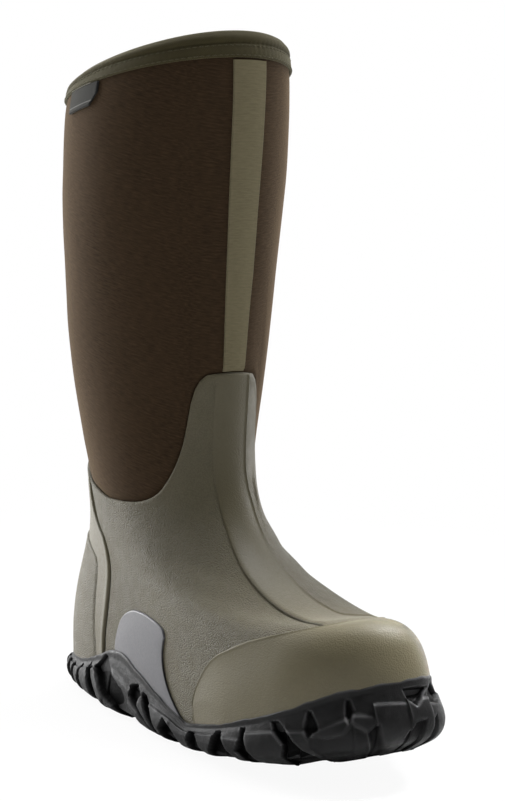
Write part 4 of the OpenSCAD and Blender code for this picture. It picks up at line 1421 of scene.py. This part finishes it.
# level directions as seen from the eye
FORWARD = np.array([-math.cos(AZIMUTH), math.sin(AZIMUTH), 0])
RIGHT = np.array([math.sin(AZIMUTH), math.cos(AZIMUTH), 0])


def camera():
    eye = np.array([AIM_X, 0, EYE_HEIGHT]) - EYE_DISTANCE * FORWARD
    up = np.array([0, 0, 1.0])
    ahead = FORWARD * math.cos(YAW) + RIGHT * math.sin(YAW)
    right = RIGHT * math.cos(YAW) - FORWARD * math.sin(YAW)
    view = ahead * math.cos(PITCH) - up * math.sin(PITCH)
    up = up * math.cos(PITCH) + ahead * math.sin(PITCH)
    axes = (right * math.cos(ROLL) + up * math.sin(ROLL),
            up * math.cos(ROLL) - right * math.sin(ROLL), -view, metres(eye))
    data = bpy.data.cameras.new("camera")
    data.lens = FOCAL_LENGTH
    data.sensor_width = SENSOR_WIDTH
    data.clip_start, data.clip_end = 0.05, 50
    ob = bpy.data.objects.new("camera", data)
    matrix = Matrix.Identity(4)
    for column, axis in enumerate(axes):
        for k in range(3):
            matrix[k][column] = axis[k]
    ob.matrix_world = matrix
    bpy.context.scene.collection.objects.link(ob)
    bpy.context.scene.camera = ob


camera()


# ---------------------------------------------------------------------------
# lights and world
# ---------------------------------------------------------------------------
def softbox(name, side, depth, height, target, size, power, spread=180):
    """placed in metres from the boot's middle: to the camera's right, away from it, up"""
    x, y, _ = RIGHT * side + FORWARD * depth
    place = (float(x), float(y), height)
    data = bpy.data.lights.new(name, "AREA")
    data.shape = "RECTANGLE"
    data.size, data.size_y = size
    data.energy = power
    data.spread = math.radians(spread)
    ob = bpy.data.objects.new(name, data)
    ob.location = place
    ob.rotation_mode = "QUATERNION"
    ob.rotation_quaternion = (Vector(target) - Vector(place)).to_track_quat("-Z", "Y")
    ob.visible_camera = False
    bpy.context.scene.collection.objects.link(ob)


softbox("left_softbox", side=-1.1, depth=0.62, height=0.62, target=(0, 0, 0.2),
        size=(0.7, 1.5), power=19)
softbox("right_softbox", side=1.0, depth=0.8, height=0.3, target=(0.1, 0, 0.06),
        size=(0.6, 0.5), power=4)
softbox("left_low_softbox", side=-0.95, depth=0.68, height=0.12, target=(-0.1, 0, 0.06),
        size=(0.4, 0.35), power=5)
softbox("toe_softbox", side=0.5, depth=0.0, height=0.75, target=(0.14, -0.01, 0.05),
        size=(0.12, 0.12), power=0.1, spread=11)
softbox("top_softbox", side=0.25, depth=0.22, height=1.4, target=(0.08, 0, 0.05),
        size=(0.6, 0.6), power=15)


def studio_world():
    """plain white to the camera; as a light, brighter from behind the boot"""
    world = bpy.data.worlds.new("studio")
    bpy.context.scene.world = world
    world.use_nodes = True
    tree = world.node_tree
    tree.nodes.clear()
    out = tree.nodes.new("ShaderNodeOutputWorld")
    light = tree.nodes.new("ShaderNodeBackground")
    backdrop = tree.nodes.new("ShaderNodeBackground")
    blend = tree.nodes.new("ShaderNodeMixShader")
    ray = tree.nodes.new("ShaderNodeLightPath")
    coords = tree.nodes.new("ShaderNodeTexCoord")
    facing = tree.nodes.new("ShaderNodeVectorMath")
    facing.operation = "DOT_PRODUCT"
    facing.inputs[1].default_value = (float(FORWARD[0]), float(FORWARD[1]), 0.12)
    strength = tree.nodes.new("ShaderNodeMapRange")
    strength.interpolation_type = "SMOOTHSTEP"
    for key, value in (("From Min", -0.8), ("From Max", 0.9), ("To Min", 0.2), ("To Max", 1.25)):
        strength.inputs[key].default_value = value
    light.inputs["Color"].default_value = (1, 1, 1, 1)
    backdrop.inputs["Color"].default_value = (1, 1, 1, 1)
    backdrop.inputs["Strength"].default_value = 1.0
    for source, target in (
            (coords.outputs["Generated"], facing.inputs[0]),
            (facing.outputs["Value"], strength.inputs["Value"]),
            (strength.outputs[0], light.inputs["Strength"]),
            (ray.outputs["Is Camera Ray"], blend.inputs[0]),
            (light.outputs[0], blend.inputs[1]),
            (backdrop.outputs[0], blend.inputs[2]),
            (blend.outputs[0], out.inputs["Surface"])):
        tree.links.new(source, target)


studio_world()

view_settings = bpy.context.scene.view_settings
view_settings.view_transform = "Standard"
view_settings.look = "None"
